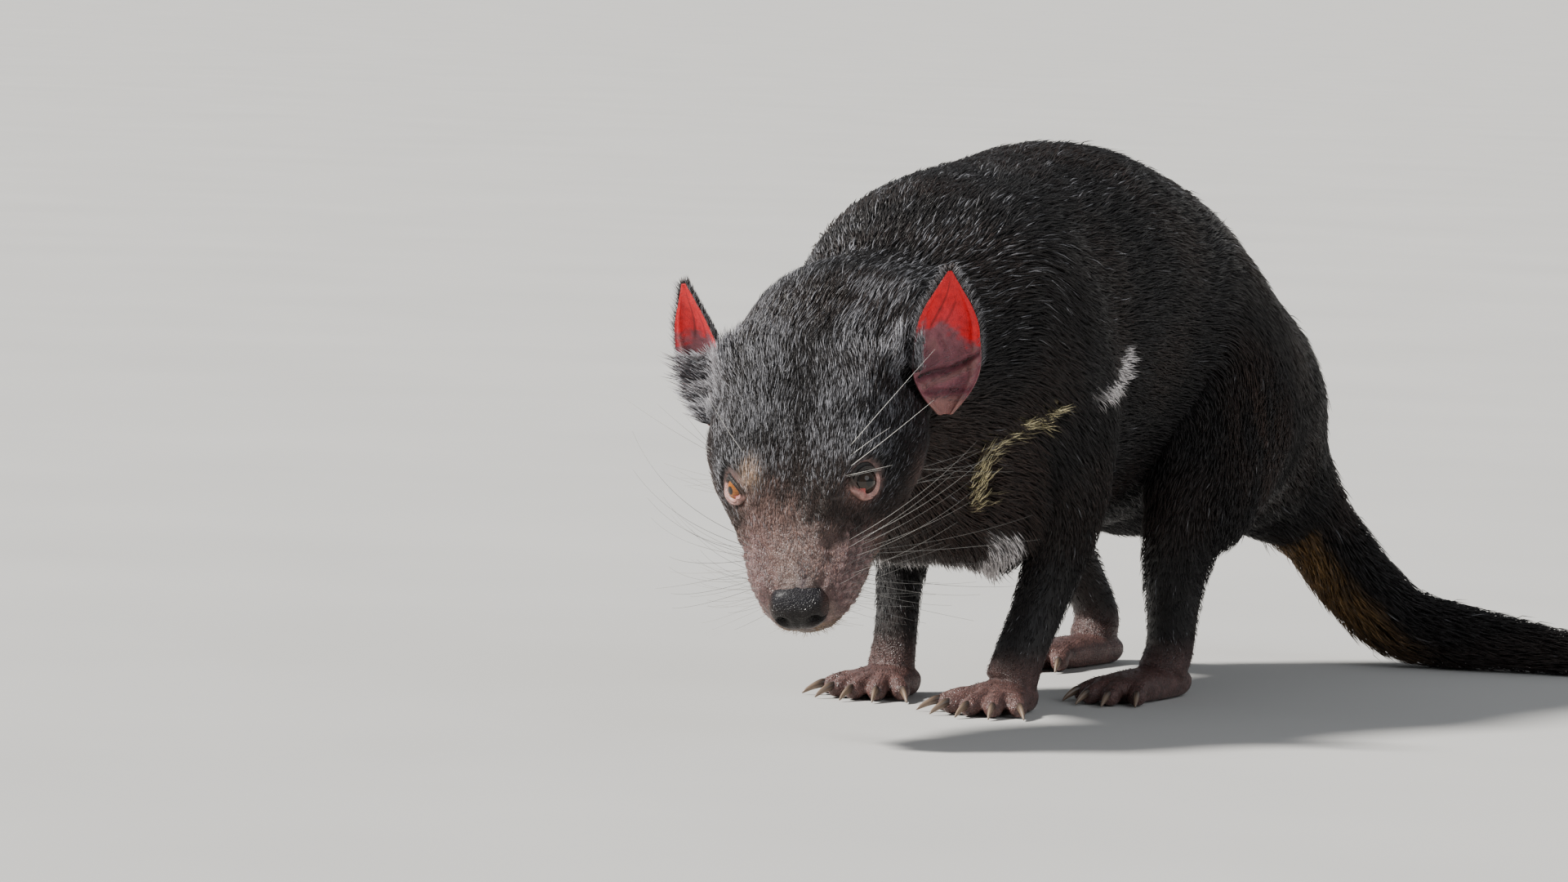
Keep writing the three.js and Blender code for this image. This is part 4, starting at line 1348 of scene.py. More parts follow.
def noseMaterial():
    recipe = Recipe("noseFinish", Specular_IOR_Level=0.3, Coat_Weight=0.08, Coat_Roughness=0.3)
    grain = recipe.effect(skinGrain, Place=recipe.place(), Scale=850.0)
    colour = recipe.times(recipe.attribute("tint"), recipe.ranged(grain["Mask"], 0.0, 1.0, 0.45, 1.15))
    normal = recipe.bump(grain["Height"], 0.85, 0.0007)
    return recipe.end(Base_Color=colour, Roughness=recipe.drifting(500.0, 2.0, 0.3, 0.5), Normal=normal)


def buildNose():
    # A squared ball, narrower below, with comma-shaped nostrils and a cleft pushed in from the front
    polar = np.linspace(0, math.pi, nose["rings"])[1:-1]
    turn = roundTurn(nose["sides"])
    a, t = np.meshgrid(polar, turn, indexing="ij")
    ball = np.stack([np.sin(a) * np.cos(t), -np.sin(a) * np.sin(t), np.cos(a)], -1)
    right, back, up = np.moveaxis(np.sign(ball) * np.abs(ball) ** nose["squareness"], -1, 0)
    x = right * nose["halfWidth"] * (1 - nose["narrowing"] * (1 - up) * 0.5)
    z = up * nose["halfHeight"]
    side = np.abs(x)
    holeAt, holeUp = nose["hole"]
    slitAt, slitUp = nose["slit"]
    hole = bell(side, holeAt, 2.8) * bell(z, holeUp, 2.4)
    slit = bell(side, slitAt, 3.6) * bell(z + 0.22 * (side - slitAt), slitUp, 0.95)
    wing = bell(side, holeAt - 0.3, 5.0) * bell(z, holeUp + 1.2, 4.6)
    cleft = bell(x, 0, 0.6) * fade(z, -0.5, 2.5)
    pushed = fade(back, -0.5, 0.0) * (5.0 * hole + 3.0 * slit - 1.4 * wing + 1.1 * cleft)
    y = back * nose["halfDepth"] + nose["lean"] * up + pushed
    points, faces = closedTube(inHead(np.stack([x, y - nose["from"], z + nose["rise"]], -1)))
    mesh = newMesh("nosePad", points, faces)
    tint = painted(
        flatTone("nose", len(points)),
        # painted sheen on the top of the pad
        ("noseTopSheen", withPoles(ease(up, 0.35, 0.85)) * 0.8),
        ("noseSide", withPoles(ease(side, 11.0, 15.5)) * 0.75),
        ("noseFoot", withPoles(fade(z, -9.0, -3.5)) * 0.75),
        # painted shade in the nostrils and the cleft
        ("nostrilShade", withPoles(np.clip(hole + 0.9 * slit + 0.7 * cleft, 0, 1))),
    )
    paint(mesh, "tint", tint)
    return newPiece("nosePad", mesh, noseMaterial(), "nose_skin", "nose")


# Ears

earLength = 76
ears = {
    "left": {
        "root": (64, -28, -13),
        "tip": (75, 17, 52),
        "open": (0.45, -0.8, 0.42),
        "ruff": {"hairs": (320, 8.5, 0.42, 3.5), "along": (0.3, 0.52), "v": (-1.0, -0.78), "turn": -0.25},
    },
    "right": {
        "root": (-59.5, -26, -13),
        "tip": (-66.5, 19, 49),
        "open": (-0.6, -0.7, 0.36),
        "ruff": {"hairs": (1900, 11.0, 0.42, 3.5), "along": (0.0, 0.45), "v": (-0.95, 1.0), "turn": -0.9},
    },
}
# Half width, depth of the cup, thickness, from the lobe to the tip
earRows = [
    (4, 2, 2.8),
    (12, 7, 2.5),
    (17, 10, 2.2),
    (18.4, 10.5, 2),
    (17.6, 9.5, 1.9),
    (16.4, 7.5, 1.7),
    (12.6, 4.8, 1.6),
    (6.9, 2.2, 1.4),
    (1.2, 0.3, 1.3),
]
earGrid = {"rows": 150, "columns": 64}
earBase = {"wide": 12.5, "high": 17, "deep": 10, "up": 19, "behind": 19, "coat": 3.0}


def earFrame(ear):
    foot = inHead(ear["root"])
    axis = unit(inHead(ear["tip"]) - foot)
    facing = headWay(ear["open"])
    facing = unit(facing - axis * (facing @ axis))
    return foot, axis, facing, np.cross(axis, facing)


def earFolds(along, v):
    # Inner face of the ear: two deep grooves with lips under them, swirls above, and a rolled front rim
    first = 0.27 + 0.02 * v + 0.14 * np.maximum(v, 0) ** 2
    second = 0.14 + 0.02 * v * v
    fold = -2.0 * bell(along, first, 0.020) + 1.3 * bell(along, first - 0.048, 0.030)
    fold = fold - 1.4 * bell(along, second, 0.018) + 0.9 * bell(along, second - 0.042, 0.028)
    swirl = np.sin(13 * v + 30 * (along - 0.48) + 1.6 * np.sin(8 * v + 12 * along))
    fold = fold + 0.75 * swirl * bell(along, 0.48, 0.075) * bell(v, -0.25, 0.42)
    roll = 0.9 * bell(np.abs(v), 0.86, 0.08) * fade(along, 0.7, 0.95)
    return (fold + roll) * ease(1 - np.abs(v), 0.0, 0.14)


earVeinLines = [
    # v of the vein at a place along the ear, that place, drift, width, start, end and strength
    (0.1, 0.93, 1.67, 0.055, (0.56, 0.62), (0.9, 0.96), 1),
    (0.35, 0.75, 2.33, 0.045, (0.55, 0.62), (0.74, 0.86), 0.8),
]


def earVeins(along, v):
    # Dark veins that run down from the tip, as a share from 0 to 1
    total = 0
    for at, place, drift, width, start, end, strength in earVeinLines:
        line = bell(v, at - drift * (place - along), width)
        total += strength * line * ease(along, *start) * (1 - ease(along, *end))
    return np.clip(total, 0, 1)


def earPoint(ear, along, v, side):
    # Sheet bent into a cup, on its inner (side 1) or outer (side -1) face; v runs from edge to edge
    foot, axis, facing, across = earFrame(ear)
    read = through(earRows, along * (len(earRows) - 1))
    halfWidth, depth, thickness = (read[..., k] for k in range(3))
    centre = foot + axis * ((along - 0.06) * earLength)[..., None]
    normal = unit(across * (-2 * depth * v / halfWidth)[..., None] + facing)
    rim = 0.35 + 0.65 * np.sqrt(np.maximum(1 - v * v, 0))
    inner = np.where(side > 0, earFolds(along, v), 0)
    push = side * thickness * rim / 2 + inner * (1 - ease(along, 0.8, 1.0))
    place = centre + across * (halfWidth * v)[..., None] - facing * (depth * (1 - v * v))[..., None]
    wavy = 0.4 * np.sin(9 * along + 2 * v) * ease(along, 0.3, 0.8)
    return place + normal * (push + wavy)[..., None], normal * np.sign(side)[..., None]


def earMaterial():
    # Thin bare skin inside, with painted light: a red glow (emission) of light through it near the tip; brown
    # skin outside
    recipe = Recipe(
        "earFinish",
        Specular_IOR_Level=0.4,
        Subsurface_Weight=0.2,
        Subsurface_Scale=0.003,
        Subsurface_Radius=(1.0, 0.25, 0.15),
        Emission_Strength=0.22,
    )
    vein = recipe.ranged(recipe.cells(recipe.attribute("sheet", "Vector"), 4.5), 0.0, 0.06, 0.78, 1.0)
    cloud = recipe.drifting(260.0, 3.0, 0.75, 1.18)
    grain = recipe.effect(skinGrain, Place=recipe.place(), Scale=1000.0)
    return recipe.end(
        Base_Color=recipe.times(recipe.attribute("tint"), vein, cloud),
        Emission_Color=recipe.times(recipe.attribute("backlitGlow"), vein, cloud),
        Roughness=recipe.ranged(grain["Mask"], 0.0, 1.0, 0.58, 0.42),
        Normal=recipe.bump(grain["Height"], 0.4, 0.0004),
    )


def buildEar(name, material):
    columns = earGrid["columns"]
    edge = np.sin(np.linspace(-1, 1, columns + 1) * math.pi / 2)  # closer together near the rims
    side = np.repeat([1.0, -1.0], columns + 1)
    along, v = np.meshgrid(np.linspace(0, 1, earGrid["rows"]), [*edge, *edge[::-1]], indexing="ij")
    side = np.broadcast_to(side, along.shape)
    places, _ = earPoint(ears[name], along, v, side)
    points, faces = closedTube(places)
    mesh = newMesh("ear" + name.capitalize(), points, [f[:, ::-1] for f in faces])
    inside = withPoles(np.where(side > 0, 1.0, 0.0))
    along, v = withPoles(along), withPoles(v)
    folds, veins = earFolds(along, v), earVeins(along, v) * inside
    uneven = 0.035 * ripple(points, 9, 72) + 0.02 * ripple(points, 3.5, 73)
    start = 0.62 - 0.14 * ease(v, 0.1, 0.75)
    lit = ease(along + uneven, start - 0.05, start + 0.06)
    tint = painted(
        flatTone("ear", len(points)),
        # painted shade in the hollow of the cup
        ("earShade", 0.6 * bell(along, 0.33, 0.11) * bell(v, -0.3, 0.7)),
        ("earLobe", fade(along, 0.06, 0.14)),
        # painted shade in the grooves
        ("earGrooveShade", 0.65 * np.clip(-0.5 * folds, 0, 1)),
        ("earRidge", 0.5 * np.clip(folds, 0, 1) * (1 - lit)),
        # painted light: red where light shines through the thin skin near the tip, rosy in places
        ("backlitCrimson", lit),
        ("backlitRosy", 0.55 * lit * bell(along, 0.66, 0.09) * bell(v, 0.15, 0.5)),
        ("vein", 0.8 * veins),
        ("umber", (1 - inside) * 0.9),
    )
    paint(mesh, "tint", np.clip(tint, 0, 1))
    # A painted glow, as emission, of the light through the ear near the tip
    paint(mesh, "backlitGlow", flatTone("backlitGlow", len(points)) * (lit * inside * (1 - 0.85 * veins))[:, None])
    paint(mesh, "sheet", np.stack([along * 2.4, v, inside], 1), "FLOAT_VECTOR")
    return newPiece(mesh.name, mesh, material, "ear_skin", "ear_" + name)


# Claws

claw = {
    "fore": 13,
    "hind": 11,
    "rings": 34,
    "sides": 18,
    "rows": [  # along, rise, half width, half height
        (-0.35, 0.3, 2.1, 2.6),
        (0.1, 0.9, 1.9, 2.5),
        (0.5, -0.7, 1.4, 1.8),
        (0.82, -2.8, 0.9, 1.1),
        (1, -4.4, 0.35, 0.4),
    ],
}


def clawMaterial():
    recipe = Recipe("clawFinish", Specular_IOR_Level=0.5, Coat_Weight=0.15, Coat_Roughness=0.2)
    lines = recipe.noise(recipe.attribute("sheet", "Vector"), 5.0, 3.0)
    colour = recipe.times(recipe.attribute("tint"), recipe.ranged(lines, 0.3, 0.7, 0.6, 1.35))
    rough = recipe.ranged(lines, 0.3, 0.7, 0.25, 0.42)
    return recipe.end(Base_Color=colour, Roughness=rough, Normal=recipe.bump(lines, 0.4, 0.0003))


def buildClaws(name, material):
    # Horn carried along a curve that bends down to a point
    part, side = name.split("_")
    rings, sides = claw["rings"], claw["sides"]
    _, toes = footParts(name)
    parts, sheets = [], []
    for tip in toes:
        stations = [
            (*(tip["tip"] + tip["pointing"] * along * claw[part] + [0, 0, rise]), wide, high, high, 0)
            for along, rise, wide, high in claw["rows"]
        ]
        tube = makeTube(stations, [tip["side"]], 2.0)
        points, faces = tubeGrid(tube, np.linspace(0, tube["last"], rings), sides)
        points[:, 2] = np.maximum(points[:, 2], 0.05)
        parts.append((points, faces))
        along = np.concatenate([np.repeat(np.linspace(0, 1, rings), sides), [0, 1]])
        turn = np.concatenate([np.tile(roundTurn(sides), rings), [0, 0]])
        sheets.append(np.stack([along, np.cos(turn), np.sin(turn)], 1))
    mesh = newMesh("claws_" + name, *merged(parts))
    sheet = np.concatenate(sheets)
    horn = flatTone("horn", len(sheet))
    paint(mesh, "tint", painted(horn, ("hornRoot", fade(sheet[:, 0], 0.2, 0.6))))
    paint(mesh, "sheet", sheet * [0.4, 1, 1], "FLOAT_VECTOR")
    replaced = [f"{part}_claw_{side}_{k + 1}" for k in range(len(toes))]
    return newPiece(mesh.name, mesh, material, "claw", *replaced)


# Coat: solid tufts over the skin

coat = {
    "seed": 17,
    "perPiece": 19000,
    "hairRows": [  # along the head and the body: tufts in a square centimetre, length, width
        (46, 2.0, 0.26),
        (50, 2.2, 0.26),
        (56, 2.5, 0.27),
        (60, 2.9, 0.28),
        (70, 3.5, 0.31),
        (96, 4.6, 0.34),
        (112, 5.8, 0.38),
        (112, 7.0, 0.42),
        (100, 8.4, 0.46),
        (74, 10.0, 0.53),
        (51, 12.5, 0.64),
        (37, 14.5, 0.76),
        (33, 15.5, 0.80),
    ],
    "leg": ((14, 3.2, 0.40), (28, 13.0, 0.78)),  # at the ankle and at the top
    "tail": (32, 15.0, 0.82),
    "longest": 14.0,  # of the ruff before the ears
}


def hairAt(points, where):
    # Tufts in a square centimetre, their length and width, at places on the skin
    row, upright = where["row"], np.sin(where["angle"])
    onSpine, onTail, onLeg = (where["is"][k] for k in ("spine", "tail", "leg"))
    along = through(coat["hairRows"], np.minimum(row, len(coat["hairRows"]) - 1))
    low, high = (np.array(values) for values in coat["leg"])
    upLeg = ease(points[:, 2], 20, 130)[:, None]
    sizes = along * onSpine[:, None] + (low + (high - low) * upLeg) * onLeg[:, None]
    sizes = sizes + np.array(coat["tail"]) * onTail[:, None]
    ruffed = sum(ruffShare(points, name) for name in hands)
    hanging = onSpine * bell(row, 12.4, 1.3) * fade(upright, -0.85, -0.45)
    fringe = onSpine * fade(row, 4.2, 5.4) * fade(upright, -0.8, -0.35)
    sizes[:, 1] += (coat["longest"] - sizes[:, 1]) * np.clip(ruffed, 0, 1)
    sizes[:, 1] += 1.0 * hanging + 2.6 * fringe
    return *sizes.T, np.clip(ruffed, 0, 1), hanging, fringe


def keptHair(points, where):
    # 1 where hair grows, less on toes, whisker pad and the bald place of the neck, 0 on lids, lips and nose
    row, onSpine = where["row"], where["is"]["spine"]
    keep = 1 - 0.85 * where["is"]["leg"] * fade(points[:, 2], 8, 24)
    pad = onSpine * bell(mirroredAngle(where["angle"]), 0.15, 0.6) * fade(row, 3.6, 4.6)
    keep = keep * (1 - 0.8 * pad)
    keep = keep * (1 - 0.55 * neckBareShare(points))
    for spot in eyeSpots.values():
        keep *= ease(fromEye(points, spot), 11.0, 15)
    near = onSpine * fade(row, 6.5, 7.5) > 0
    away, _ = fromMouth(points[near])
    keep[near] *= ease(away, 1.5, 4.5)
    for ear in ears.values():  # no hair where the cup of the ear covers the skin
        foot, axis, facing, across = earFrame(ear)
        off = points - foot
        cup = ease(off @ facing, -17, -13) * fade(np.abs(off @ across), 12, 17)
        keep *= 1 - cup * ease(off @ axis, 2, 6)
    offNose = (toHead(points) - [0, -nose["from"], nose["rise"]]) / nose["bareAround"]
    keep *= ease(np.linalg.norm(offNose, axis=1), 1.0, 1.3)
    return keep * (points[:, 2] > 3.0)


def samplePlaces(mesh, density, draw):
    # Places on the skin's triangles by a density at each vertex: triangle corners and shares of each corner
    mesh.calc_loop_triangles()
    corners = np.empty(len(mesh.loop_triangles) * 3, np.int32)
    mesh.loop_triangles.foreach_get("vertices", corners)
    corners = corners.reshape(-1, 3)
    points, _ = readMesh(mesh)
    a, b, c = (points[corners[:, k]] for k in range(3))
    area = np.linalg.norm(np.cross(b - a, c - a), axis=1) / 200  # in square centimetres
    total = np.cumsum(area * density[corners].mean(1))
    count = int(total[-1])
    at = (np.arange(count) + draw.random(count)) / count * total[-1]
    chosen = corners[np.searchsorted(total, at).clip(0, len(corners) - 1)]
    p, q = draw.random(count), draw.random(count)
    over = p + q > 1
    p[over], q[over] = 1 - p[over], 1 - q[over]
    return chosen, np.stack([1 - p - q, p, q], 1)


def tuftPoints(root, normal, lie, length, width, height, curl, draw):
    # Seven points a tuft: three at the root, three at the bend and the tip, in a flattened three-sided blade
    side = unit(np.cross(lie, normal))
    length, width, height, curl = (x[:, None] for x in (length, width, height, curl))
    thick = width * (0.3 + 0.25 * draw.random((len(root), 1)))
    foot = root - normal * 0.5
    bend = root + lie * length * 0.5 + normal * height * 0.78 + side * curl * 0.35
    tip = root + lie * length + normal * height * (0.75 + 0.35 * draw.random((len(root), 1))) + side * curl
    return np.stack([
        foot - side * width / 2,
        foot + side * width / 2,
        foot + normal * thick - lie * 0.2,
        bend - side * width * 0.42,
        bend + side * width * 0.42,
        bend + normal * thick,
        tip,
    ], 1)


tuftFaces = np.array([
    (0, 2, 1),
    (0, 1, 4), (0, 4, 3),
    (1, 2, 5), (1, 5, 4),
    (2, 0, 3), (2, 3, 5),
    (3, 4, 6), (4, 5, 6), (5, 3, 6),
])


# A tuft's own patch of the unwrap, point by point, as shares of the unwrap's width
tuftPatch = np.array([(0, 0), (1, 0), (0.5, 0.15), (0, 0.6), (1, 0.6), (0.5, 0.6), (0.5, 1)]) * 0.003


def coatPieces(name, points, tints, spot, material):
    # Tufts (count, 7, 3) with a colour at each point and a place on the skin's unwrap, cut into pieces
    order = np.argsort(spot[:, 0], kind="stable")
    points, tints, spot = points[order], tints[order], spot[order]
    cuts = max(1, math.ceil(len(points) / coat["perPiece"]))
    for k in range(cuts):
        some = slice(k * len(points) // cuts, (k + 1) * len(points) // cuts)
        tufts = points[some]
        faces = (np.arange(len(tufts))[:, None, None] * len(tuftPatch) + tuftFaces).reshape(-1, 3)
        mesh = newMesh(f"{name}_{k + 1}", tufts.reshape(-1, 3), [faces])
        paint(mesh, "tint", tints[some].reshape(-1, 3))
        own = spot[some]
        low, high = own.min(0), own.max(0)
        own = 0.01 + 0.975 * (own - low) / np.maximum(high - low, 1e-6)  # clear of the unwrap's edges
        unwrap = mesh.uv_layers.new(name="OFBake")
        corners = (own[:, None] + tuftPatch)[:, tuftFaces.ravel()]
        unwrap.data.foreach_set("uv", corners.astype(np.float32).ravel())
        newPiece(mesh.name, mesh, material, "coat")
    print("coat:", name, len(points), "tufts in", cuts, "pieces")


def fillCoat(skin, skinWhere, material):
    draw = np.random.default_rng(coat["seed"])
    points, _ = readMesh(skin.data)
    density = hairAt(points, skinWhere)[0] * keptHair(points, skinWhere)
    corners, shares = samplePlaces(skin.data, density, draw)
    take = lambda values: (values[corners] * shares[..., None]).sum(1)
    root = take(points)
    normal = unit(take(normalsOf(skin.data)))
    where = layOf(root, normal)
    colour, paleHairAndSheen, _, pale = markedCoat(root, where)
    _, length, width, ruffed, hanging, fringe = hairAt(root, where)
    row, tube = where["row"], where["tube"]
    count = len(root)
    depth = np.zeros(count)
    for i, own in enumerate(tubes.values()):
        on = tube == i
        depth[on] = atRow(own, row[on], "depth")[0][:, 0]
    length = length * draw.uniform(0.7, 1.25, count) * (1 - 0.3 * pale)
    lie = where["lie"] + np.array([0, 0, -0.35]) * hanging[:, None] + normal * 0.8 * fringe[:, None]
    side = unit(np.cross(lie, normal))
    sway = 0.09 * ripple(root, 18, 81) + 0.07 * ripple(root, 6, 82) + draw.normal(0, 0.1, count)
    lie = unit(lie + side * sway[:, None])
    width = width * draw.uniform(0.7, 1.25, count) * (1 - 0.12 * pale)
    height = depth * draw.uniform(0.35, 0.85, count) * (1 + 0.16 * ripple(root, 14, 83)) + 0.2 + 1.2 * pale
    ruffle = (draw.random(count) < 0.02) * draw.uniform(0.3, 1.0, count)
    height = height * (1 + 0.6 * ruffle) + 5.0 * ruffed * draw.uniform(0.2, 1.0, count)
    curl = draw.normal(0, 0.06, count) * length
    tufts = tuftPoints(root, normal, lie, length, width, height, curl, draw)
    tufts[..., 2] = np.maximum(tufts[..., 2], 0.3)
    paleHairAndSheen = np.clip(np.maximum(paleHairAndSheen * (1 - 0.7 * hanging), 0.95 * ruffed), 0, 1)
    # Pale tips on a share of the tufts: painted sheen where the coat has it, and pale hair on the ruffs
    paleTipsAndSheen = (draw.random(count) < paleHairAndSheen * 0.75 + 0.2 * ruffed) * draw.uniform(0.15, 1.0, count)
    stray = (draw.random(count) < 0.006) * draw.uniform(0.2, 0.7, count)
    base = colour * draw.uniform(0.55, 1.5, (count, 1))
    tip = mixed(base, tones["paleHairAndSheen"], np.maximum(paleTipsAndSheen, stray * (1 - pale)))
    # Tips lighter as painted sheen, and roots darker as painted shade deep in the coat
    tip = tip * draw.uniform(0.85, 1.45, (count, 1)) * (1 + 0.5 * ruffed)[:, None]
    shadedRootTint = base * 0.5
    middle = base * 0.4 + tip * 0.6
    tints = np.stack([shadedRootTint, shadedRootTint, shadedRootTint, middle, middle, middle, tip], 1)
    spot = straightened(root, where)[:, :2]
    groups = {"coat_head": (tube == 0) & (row < 10.2), "coat_body": (tube == 0) & (row >= 10.2)}
    groups |= {"coat_" + name: tube == i for i, name in enumerate(tubes) if i > 0}
    for name, on in groups.items():
        coatPieces(name, tufts[on], tints[on], spot[on], material)


earHair = {  # how many, length, width, height
    "back": (2600, 4.6, 0.46, 1.0),
    "rim": (460, 5.6, 0.19, 0.5),
    "inner": (170, 6.5, 0.13, 0.7),
}


def furOnEar(name, material):
    # Short dark hair on the back of the ear, a pale fringe on its rims, and thin hairs and a ruff across its
    # lower inside
    ear = ears[name]
    fluff = ear["ruff"]
    draw = np.random.default_rng(coat["seed"] + len(name))
    _, axis, facing, across = earFrame(ear)
    counts, *sizes = zip(*earHair.values(), fluff["hairs"])
    kind = np.repeat(np.arange(len(counts)), counts)
    total = len(kind)
    rim, inner, front = (kind == k for k in (1, 2, 3))
    along = draw.uniform(0.06, 0.99, total)
    along[rim] = draw.uniform(0.3, 1.0, rim.sum())
    along[inner] = draw.uniform(0.07, 0.42, inner.sum())
    along[front] = draw.uniform(*fluff["along"], front.sum())
    v = draw.uniform(-0.97, 0.97, total)
    v[rim] = np.where(draw.random(rim.sum()) < 0.5, -1.0, 1.0) * draw.uniform(0.93, 1.0, rim.sum())
    v[front] = draw.uniform(*fluff["v"], front.sum())
    side = np.where(inner | front | (rim & (draw.random(total) < 0.4)), 1.0, -1.0)
    root, normal = earPoint(ear, along, v, side)
    lie = axis + across * np.sign(v)[:, None] * np.where(rim, 0.8, 0.12)[:, None]
    lie[inner] = across * 0.9 + axis * 0.35
    lie[front] = axis * 0.7 + across * fluff["turn"] + facing * 0.35
    lie = unit(lie + draw.normal(0, 0.13, (total, 3)))
    lie = unit(lie - normal * dot(lie, normal) * np.where(rim, 0.6, 0.95)[:, None])
    length, width, height = (np.array(size)[kind] for size in sizes)
    length = length * draw.uniform(0.6, 1.35, total)
    width = width * draw.uniform(0.8, 1.3, total)
    height = height * draw.uniform(0.4, 1.4, total)
    tufts = tuftPoints(root, normal, lie, length, width, height, draw.normal(0, 0.3, total), draw)
    dark = np.tile(np.array(tones["umber"]) * 0.5, (total, 1))
    shares = draw.random(total)
    frosts = [shares**3 * 0.4, 0.15 + 0.75 * shares, 0.2 + 0.5 * shares, 0.15 + 0.85 * shares]
    paleTipsAndSheen = np.choose(kind, frosts)
    tint = mixed(dark, tones["paleHairAndSheen"], paleTipsAndSheen)
    # Roots darker as painted shade in the fur, tips lighter as painted sheen
    tints = np.stack([tint * 0.6] * 3 + [tint * 0.9] * 3 + [tint * 1.2], 1)
    coatPieces("coat_ear_" + name, tufts, tints, np.stack([along + 1.2 * kind, v], 1), material)


# Whiskers

whisker = {"seed": 29, "rootRadius": 0.15, "tipRadius": 0.05, "steps": 14, "cheek": 6, "chin": 9}
browWhiskers = {  # row and angle of the root, and the way to the tip in the head's frame
    "left": [
        (6.38, 60, (47, 38, 32)),
        (5.95, 57, (47, 27, 20)),
        (6.21, 59, (26, 12, 13)),
        (5.78, 60, (27, 4, 3)),
        (5.70, 62, (24, 6, -2)),
    ],
    "right": [
        (7.38, 172, (-44, 12, 29)),
        (7.30, 166, (-30, 12, 26)),
        (7.61, 178, (-15, 10, 21)),
        (6.40, 122, (-20, 22, 20)),
    ],
}


def whiskerMaterial():
    recipe = Recipe("whiskerFinish", Specular_IOR_Level=0.5)
    return recipe.end(Base_Color=recipe.attribute("tint"), Roughness=recipe.drifting(900.0, 1.0, 0.25, 0.4))


def hairTube(root, reach, droop, radius):
    # A thin tapering hair that sets out along its reach and bends towards the droop
    t = np.linspace(0, 1, whisker["steps"])[:, None]
    line = root + reach * t + droop * (t * t - 0.35 * t)
    along = unit(np.gradient(line, axis=0))
    side = unit(np.cross(along, [0.2, 0.1, 1.0]))
    up = np.cross(side, along)
    size = (radius * (1 - t) + whisker["tipRadius"] * t)[:, None]
    turn = (np.arange(4) * math.pi / 2)[None, :, None]
    rings = line[:, None] + (np.cos(turn) * side[:, None] + np.sin(turn) * up[:, None]) * size
    return closedTube(rings)


def buildWhiskers():
    draw = np.random.default_rng(whisker["seed"])
    hairs, shades = [], []

    def add(row, angle, reach, droop, thick=1.0, shade=0.62):
        # reach and droop are given in the head's frame, in mm
        root = tubePoint(spine, np.array([row]), np.array([angle]), np.array([-0.6]))[0]
        far = np.linalg.norm(reach)
        ways = [headWay(v) * np.linalg.norm(v) for v in (reach, droop)]
        reach, droop = ways[0] + draw.normal(0, 0.035, 3) * far, ways[1] + draw.normal(0, 0.04, 3) * far
        hairs.append(hairTube(root, reach, droop, whisker["rootRadius"] * thick))
        shades.append((len(hairs[-1][0]), shade))

    for name, hand in hands.items():
        turned = lambda angle: angle if hand > 0 else math.pi - angle
        for n, (row, angle) in enumerate(follicles):
            line, k = divmod(n, follicleSizes["perLine"])
            up, back = line / (follicleSizes["lines"] - 1), k / (follicleSizes["perLine"] - 1)
            long = draw.random() < 0.72
            length = (38 + 58 * back) * draw.uniform(0.7, 1.12) if long else draw.uniform(9, 22)
            way = np.array([hand * 0.95, -0.22 + 0.42 * up + 0.25 * back, -0.32 + 0.62 * up])
            bend = np.array([-hand * 0.16, 0.34, -0.24]) * length
            # Whiskers on the left are painted darker, as painted shade, than those on the right, which stand
            # in the light
            shade = draw.choice([0.36, 0.2, 0.04], p=[0.35, 0.3, 0.35]) * (1 if hand < 0 else 0.7)
            add(row, turned(angle), way * length * (0.8 if hand < 0 else 1), bend, 0.45 + 0.42 * back, shade)
        for row, angle, reach in browWhiskers[name]:
            add(row, math.radians(angle), reach, np.array([0, 0.16, -0.1]) * np.linalg.norm(reach))
        for k in range(whisker["cheek"]):
            way = np.array([hand * 0.8, 0.55 - 0.08 * k, -0.15 - 0.1 * (k % 3)]) * draw.uniform(36, 62)
            add(7.0 + 0.14 * k, turned(math.radians(-20 - 5 * (k % 3))), way, (0, 8, -6), 0.7, 0.3)
        for k in range(whisker["chin"]):
            way = np.array([hand * 0.7, 0.3, -0.75]) * draw.uniform(10, 22)
            add(1.6 + 0.34 * k, turned(math.radians(-60 - 3 * k)), way, (0, 3, -2), 0.5, 0.4)
    points, faces = merged(hairs)
    mesh = newMesh("whiskers", points, faces)
    tint = np.concatenate([np.tile([s, s * 0.96, s * 0.9], (n, 1)) for n, s in shades])
    paint(mesh, "tint", tint)
    return newPiece("whiskers", mesh, whiskerMaterial(), "coat")


# Stage

stage = {
    "floorColour": (0.55, 0.545, 0.53),
    "floorHalf": 60.0,
    "target": (-114.6, -74.4, 132.0),
    "azimuth": 33.0,
    "elevation": 4.0,
    "roll": 2.0,
    "distance": 4.0,
    "focal": 9000.0,  # in pixels of the photo
    "photoWidth": 1920,
    "sensor": 36.0,
    "studioColour": (0.85, 0.88, 0.92, 1),
    "studioLight": 0.38,
    "suns": [
        # the way it comes from (as shares of the camera's right, up and back), strength, spread, colour
        ("keySun", (-0.68, 0.72, 0.14), 7.5, 8, (1.0, 0.97, 0.92)),
        ("fillSun", (0.75, 0.5, 0.75), 0.6, 40, (0.92, 0.96, 1.0)),
    ],
}


def buildFloor():
    half = stage["floorHalf"]
    mesh = bpy.data.meshes.new("floor")
    corners = [(-half, -half, 0), (half, -half, 0), (half, half, 0), (-half, half, 0)]
    mesh.from_pydata(corners, [], [(0, 1, 2, 3)])
    recipe = Recipe("floorFinish", Specular_IOR_Level=0.2)
    cloud = recipe.drifting(3.0, 4.0, 0.97, 1.03)
    rough = recipe.ranged(cloud, 0.97, 1.03, 0.75, 0.85)
    mesh.materials.append(recipe.end(Base_Color=recipe.times(stage["floorColour"], cloud), Roughness=rough))
    floor = placed("floor", mesh)


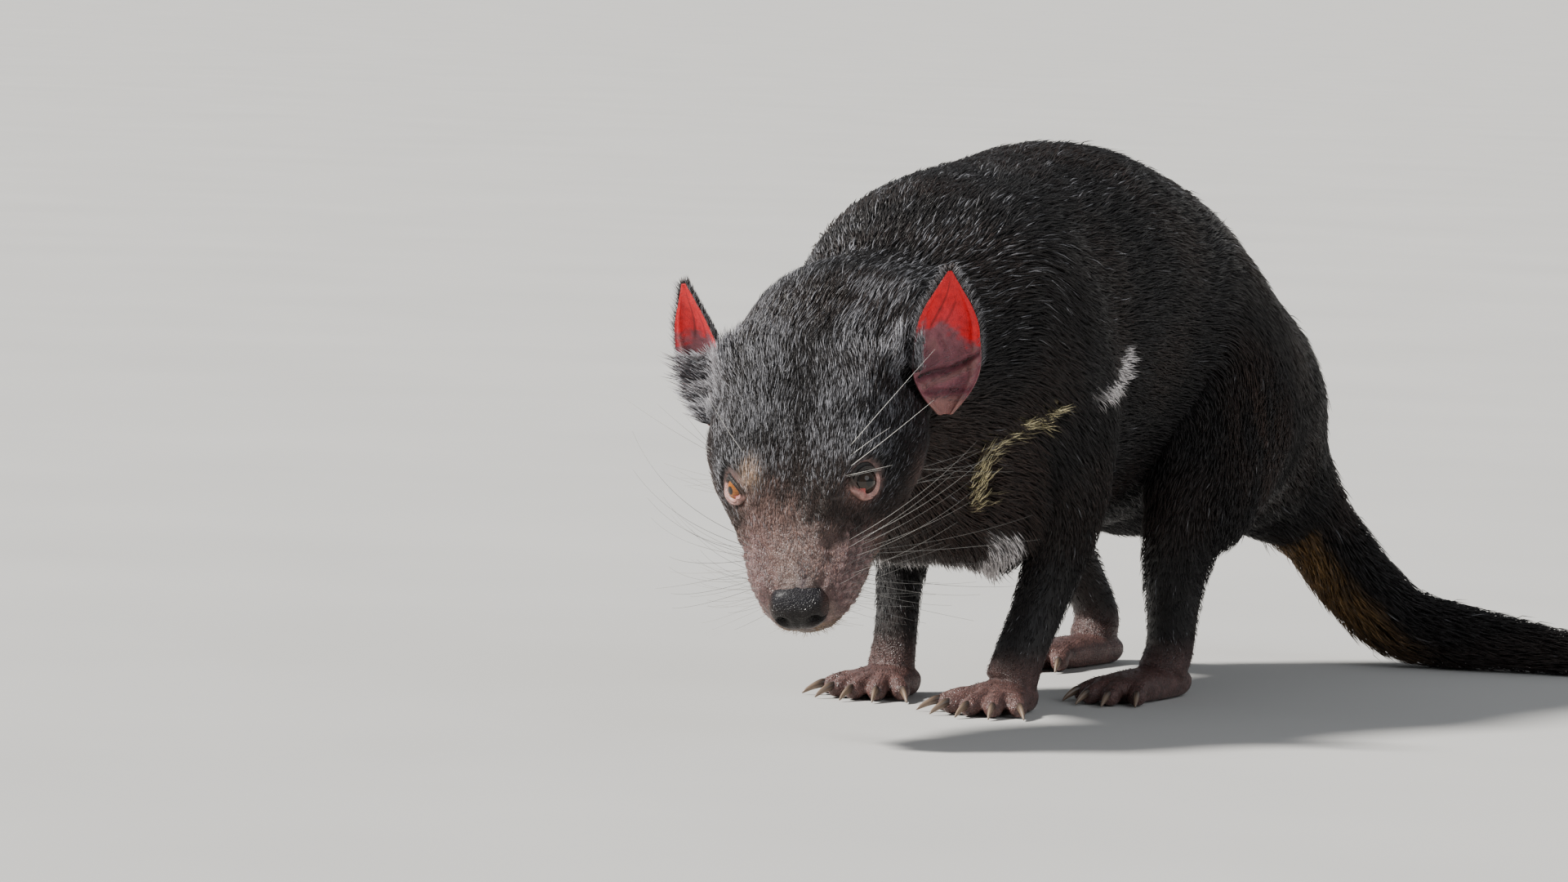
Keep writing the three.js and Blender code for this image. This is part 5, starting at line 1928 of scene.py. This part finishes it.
def cameraAxes():
    az, el, roll = (math.radians(stage[k]) for k in ("azimuth", "elevation", "roll"))
    back = np.array([math.sin(az) * math.cos(el), -math.cos(az) * math.cos(el), math.sin(el)])
    right = unit(np.cross(-back, [0, 0, 1]))
    up = np.cross(right, -back)
    tiltedRight = right * math.cos(roll) + up * math.sin(roll)
    tiltedUp = up * math.cos(roll) - right * math.sin(roll)
    return tiltedRight, tiltedUp, back


def matrixOf(axes, at):
    grid = np.eye(4)
    grid[:3, :3] = np.transpose(axes)
    grid[:3, 3] = at
    return Matrix(grid.tolist())


def buildCamera():
    data = bpy.data.cameras.new("camera")
    data.sensor_width = stage["sensor"]
    data.lens = stage["focal"] / stage["photoWidth"] * stage["sensor"]
    data.clip_end = 300
    camera = placed("camera", data)
    axes = cameraAxes()
    camera.matrix_world = matrixOf(axes, world(stage["target"]) + axes[2] * stage["distance"])
    bpy.context.scene.camera = camera


def buildLights():
    for name, way, strength, spread, colour in stage["suns"]:
        data = bpy.data.lights.new(name, "SUN")
        data.energy = strength
        data.angle = math.radians(spread)
        data.color = colour
        z = unit(np.array(way) @ cameraAxes())
        x = unit(np.cross([0.1, 0.2, 1], z))
        placed(name, data).matrix_world = matrixOf((x, np.cross(z, x), z), np.zeros(3))
    studio = bpy.data.worlds.new("studio")
    studio.use_nodes = True
    background = studio.node_tree.nodes["Background"]
    background.inputs["Color"].default_value = stage["studioColour"]
    background.inputs["Strength"].default_value = stage["studioLight"]
    bpy.context.scene.world = studio


print("stage: floor, camera and lights")
buildFloor()
buildCamera()
buildLights()

print("skin: lofts, remesh and folds")
skin, skinWhere = buildSkin()

print("eyes, lids and nose")
for side in hands:
    buildEye(side)
for side in hands:
    buildLids(side)
buildNose()

print("ears and claws")
coatFinish = coatMaterial()
earFinish = earMaterial()
for side in hands:
    buildEar(side, earFinish)
    furOnEar(side, coatFinish)
clawFinish = clawMaterial()
for name in palms:
    buildClaws(name, clawFinish)

print("coat and whiskers")
fillCoat(skin, skinWhere, coatFinish)
buildWhiskers()
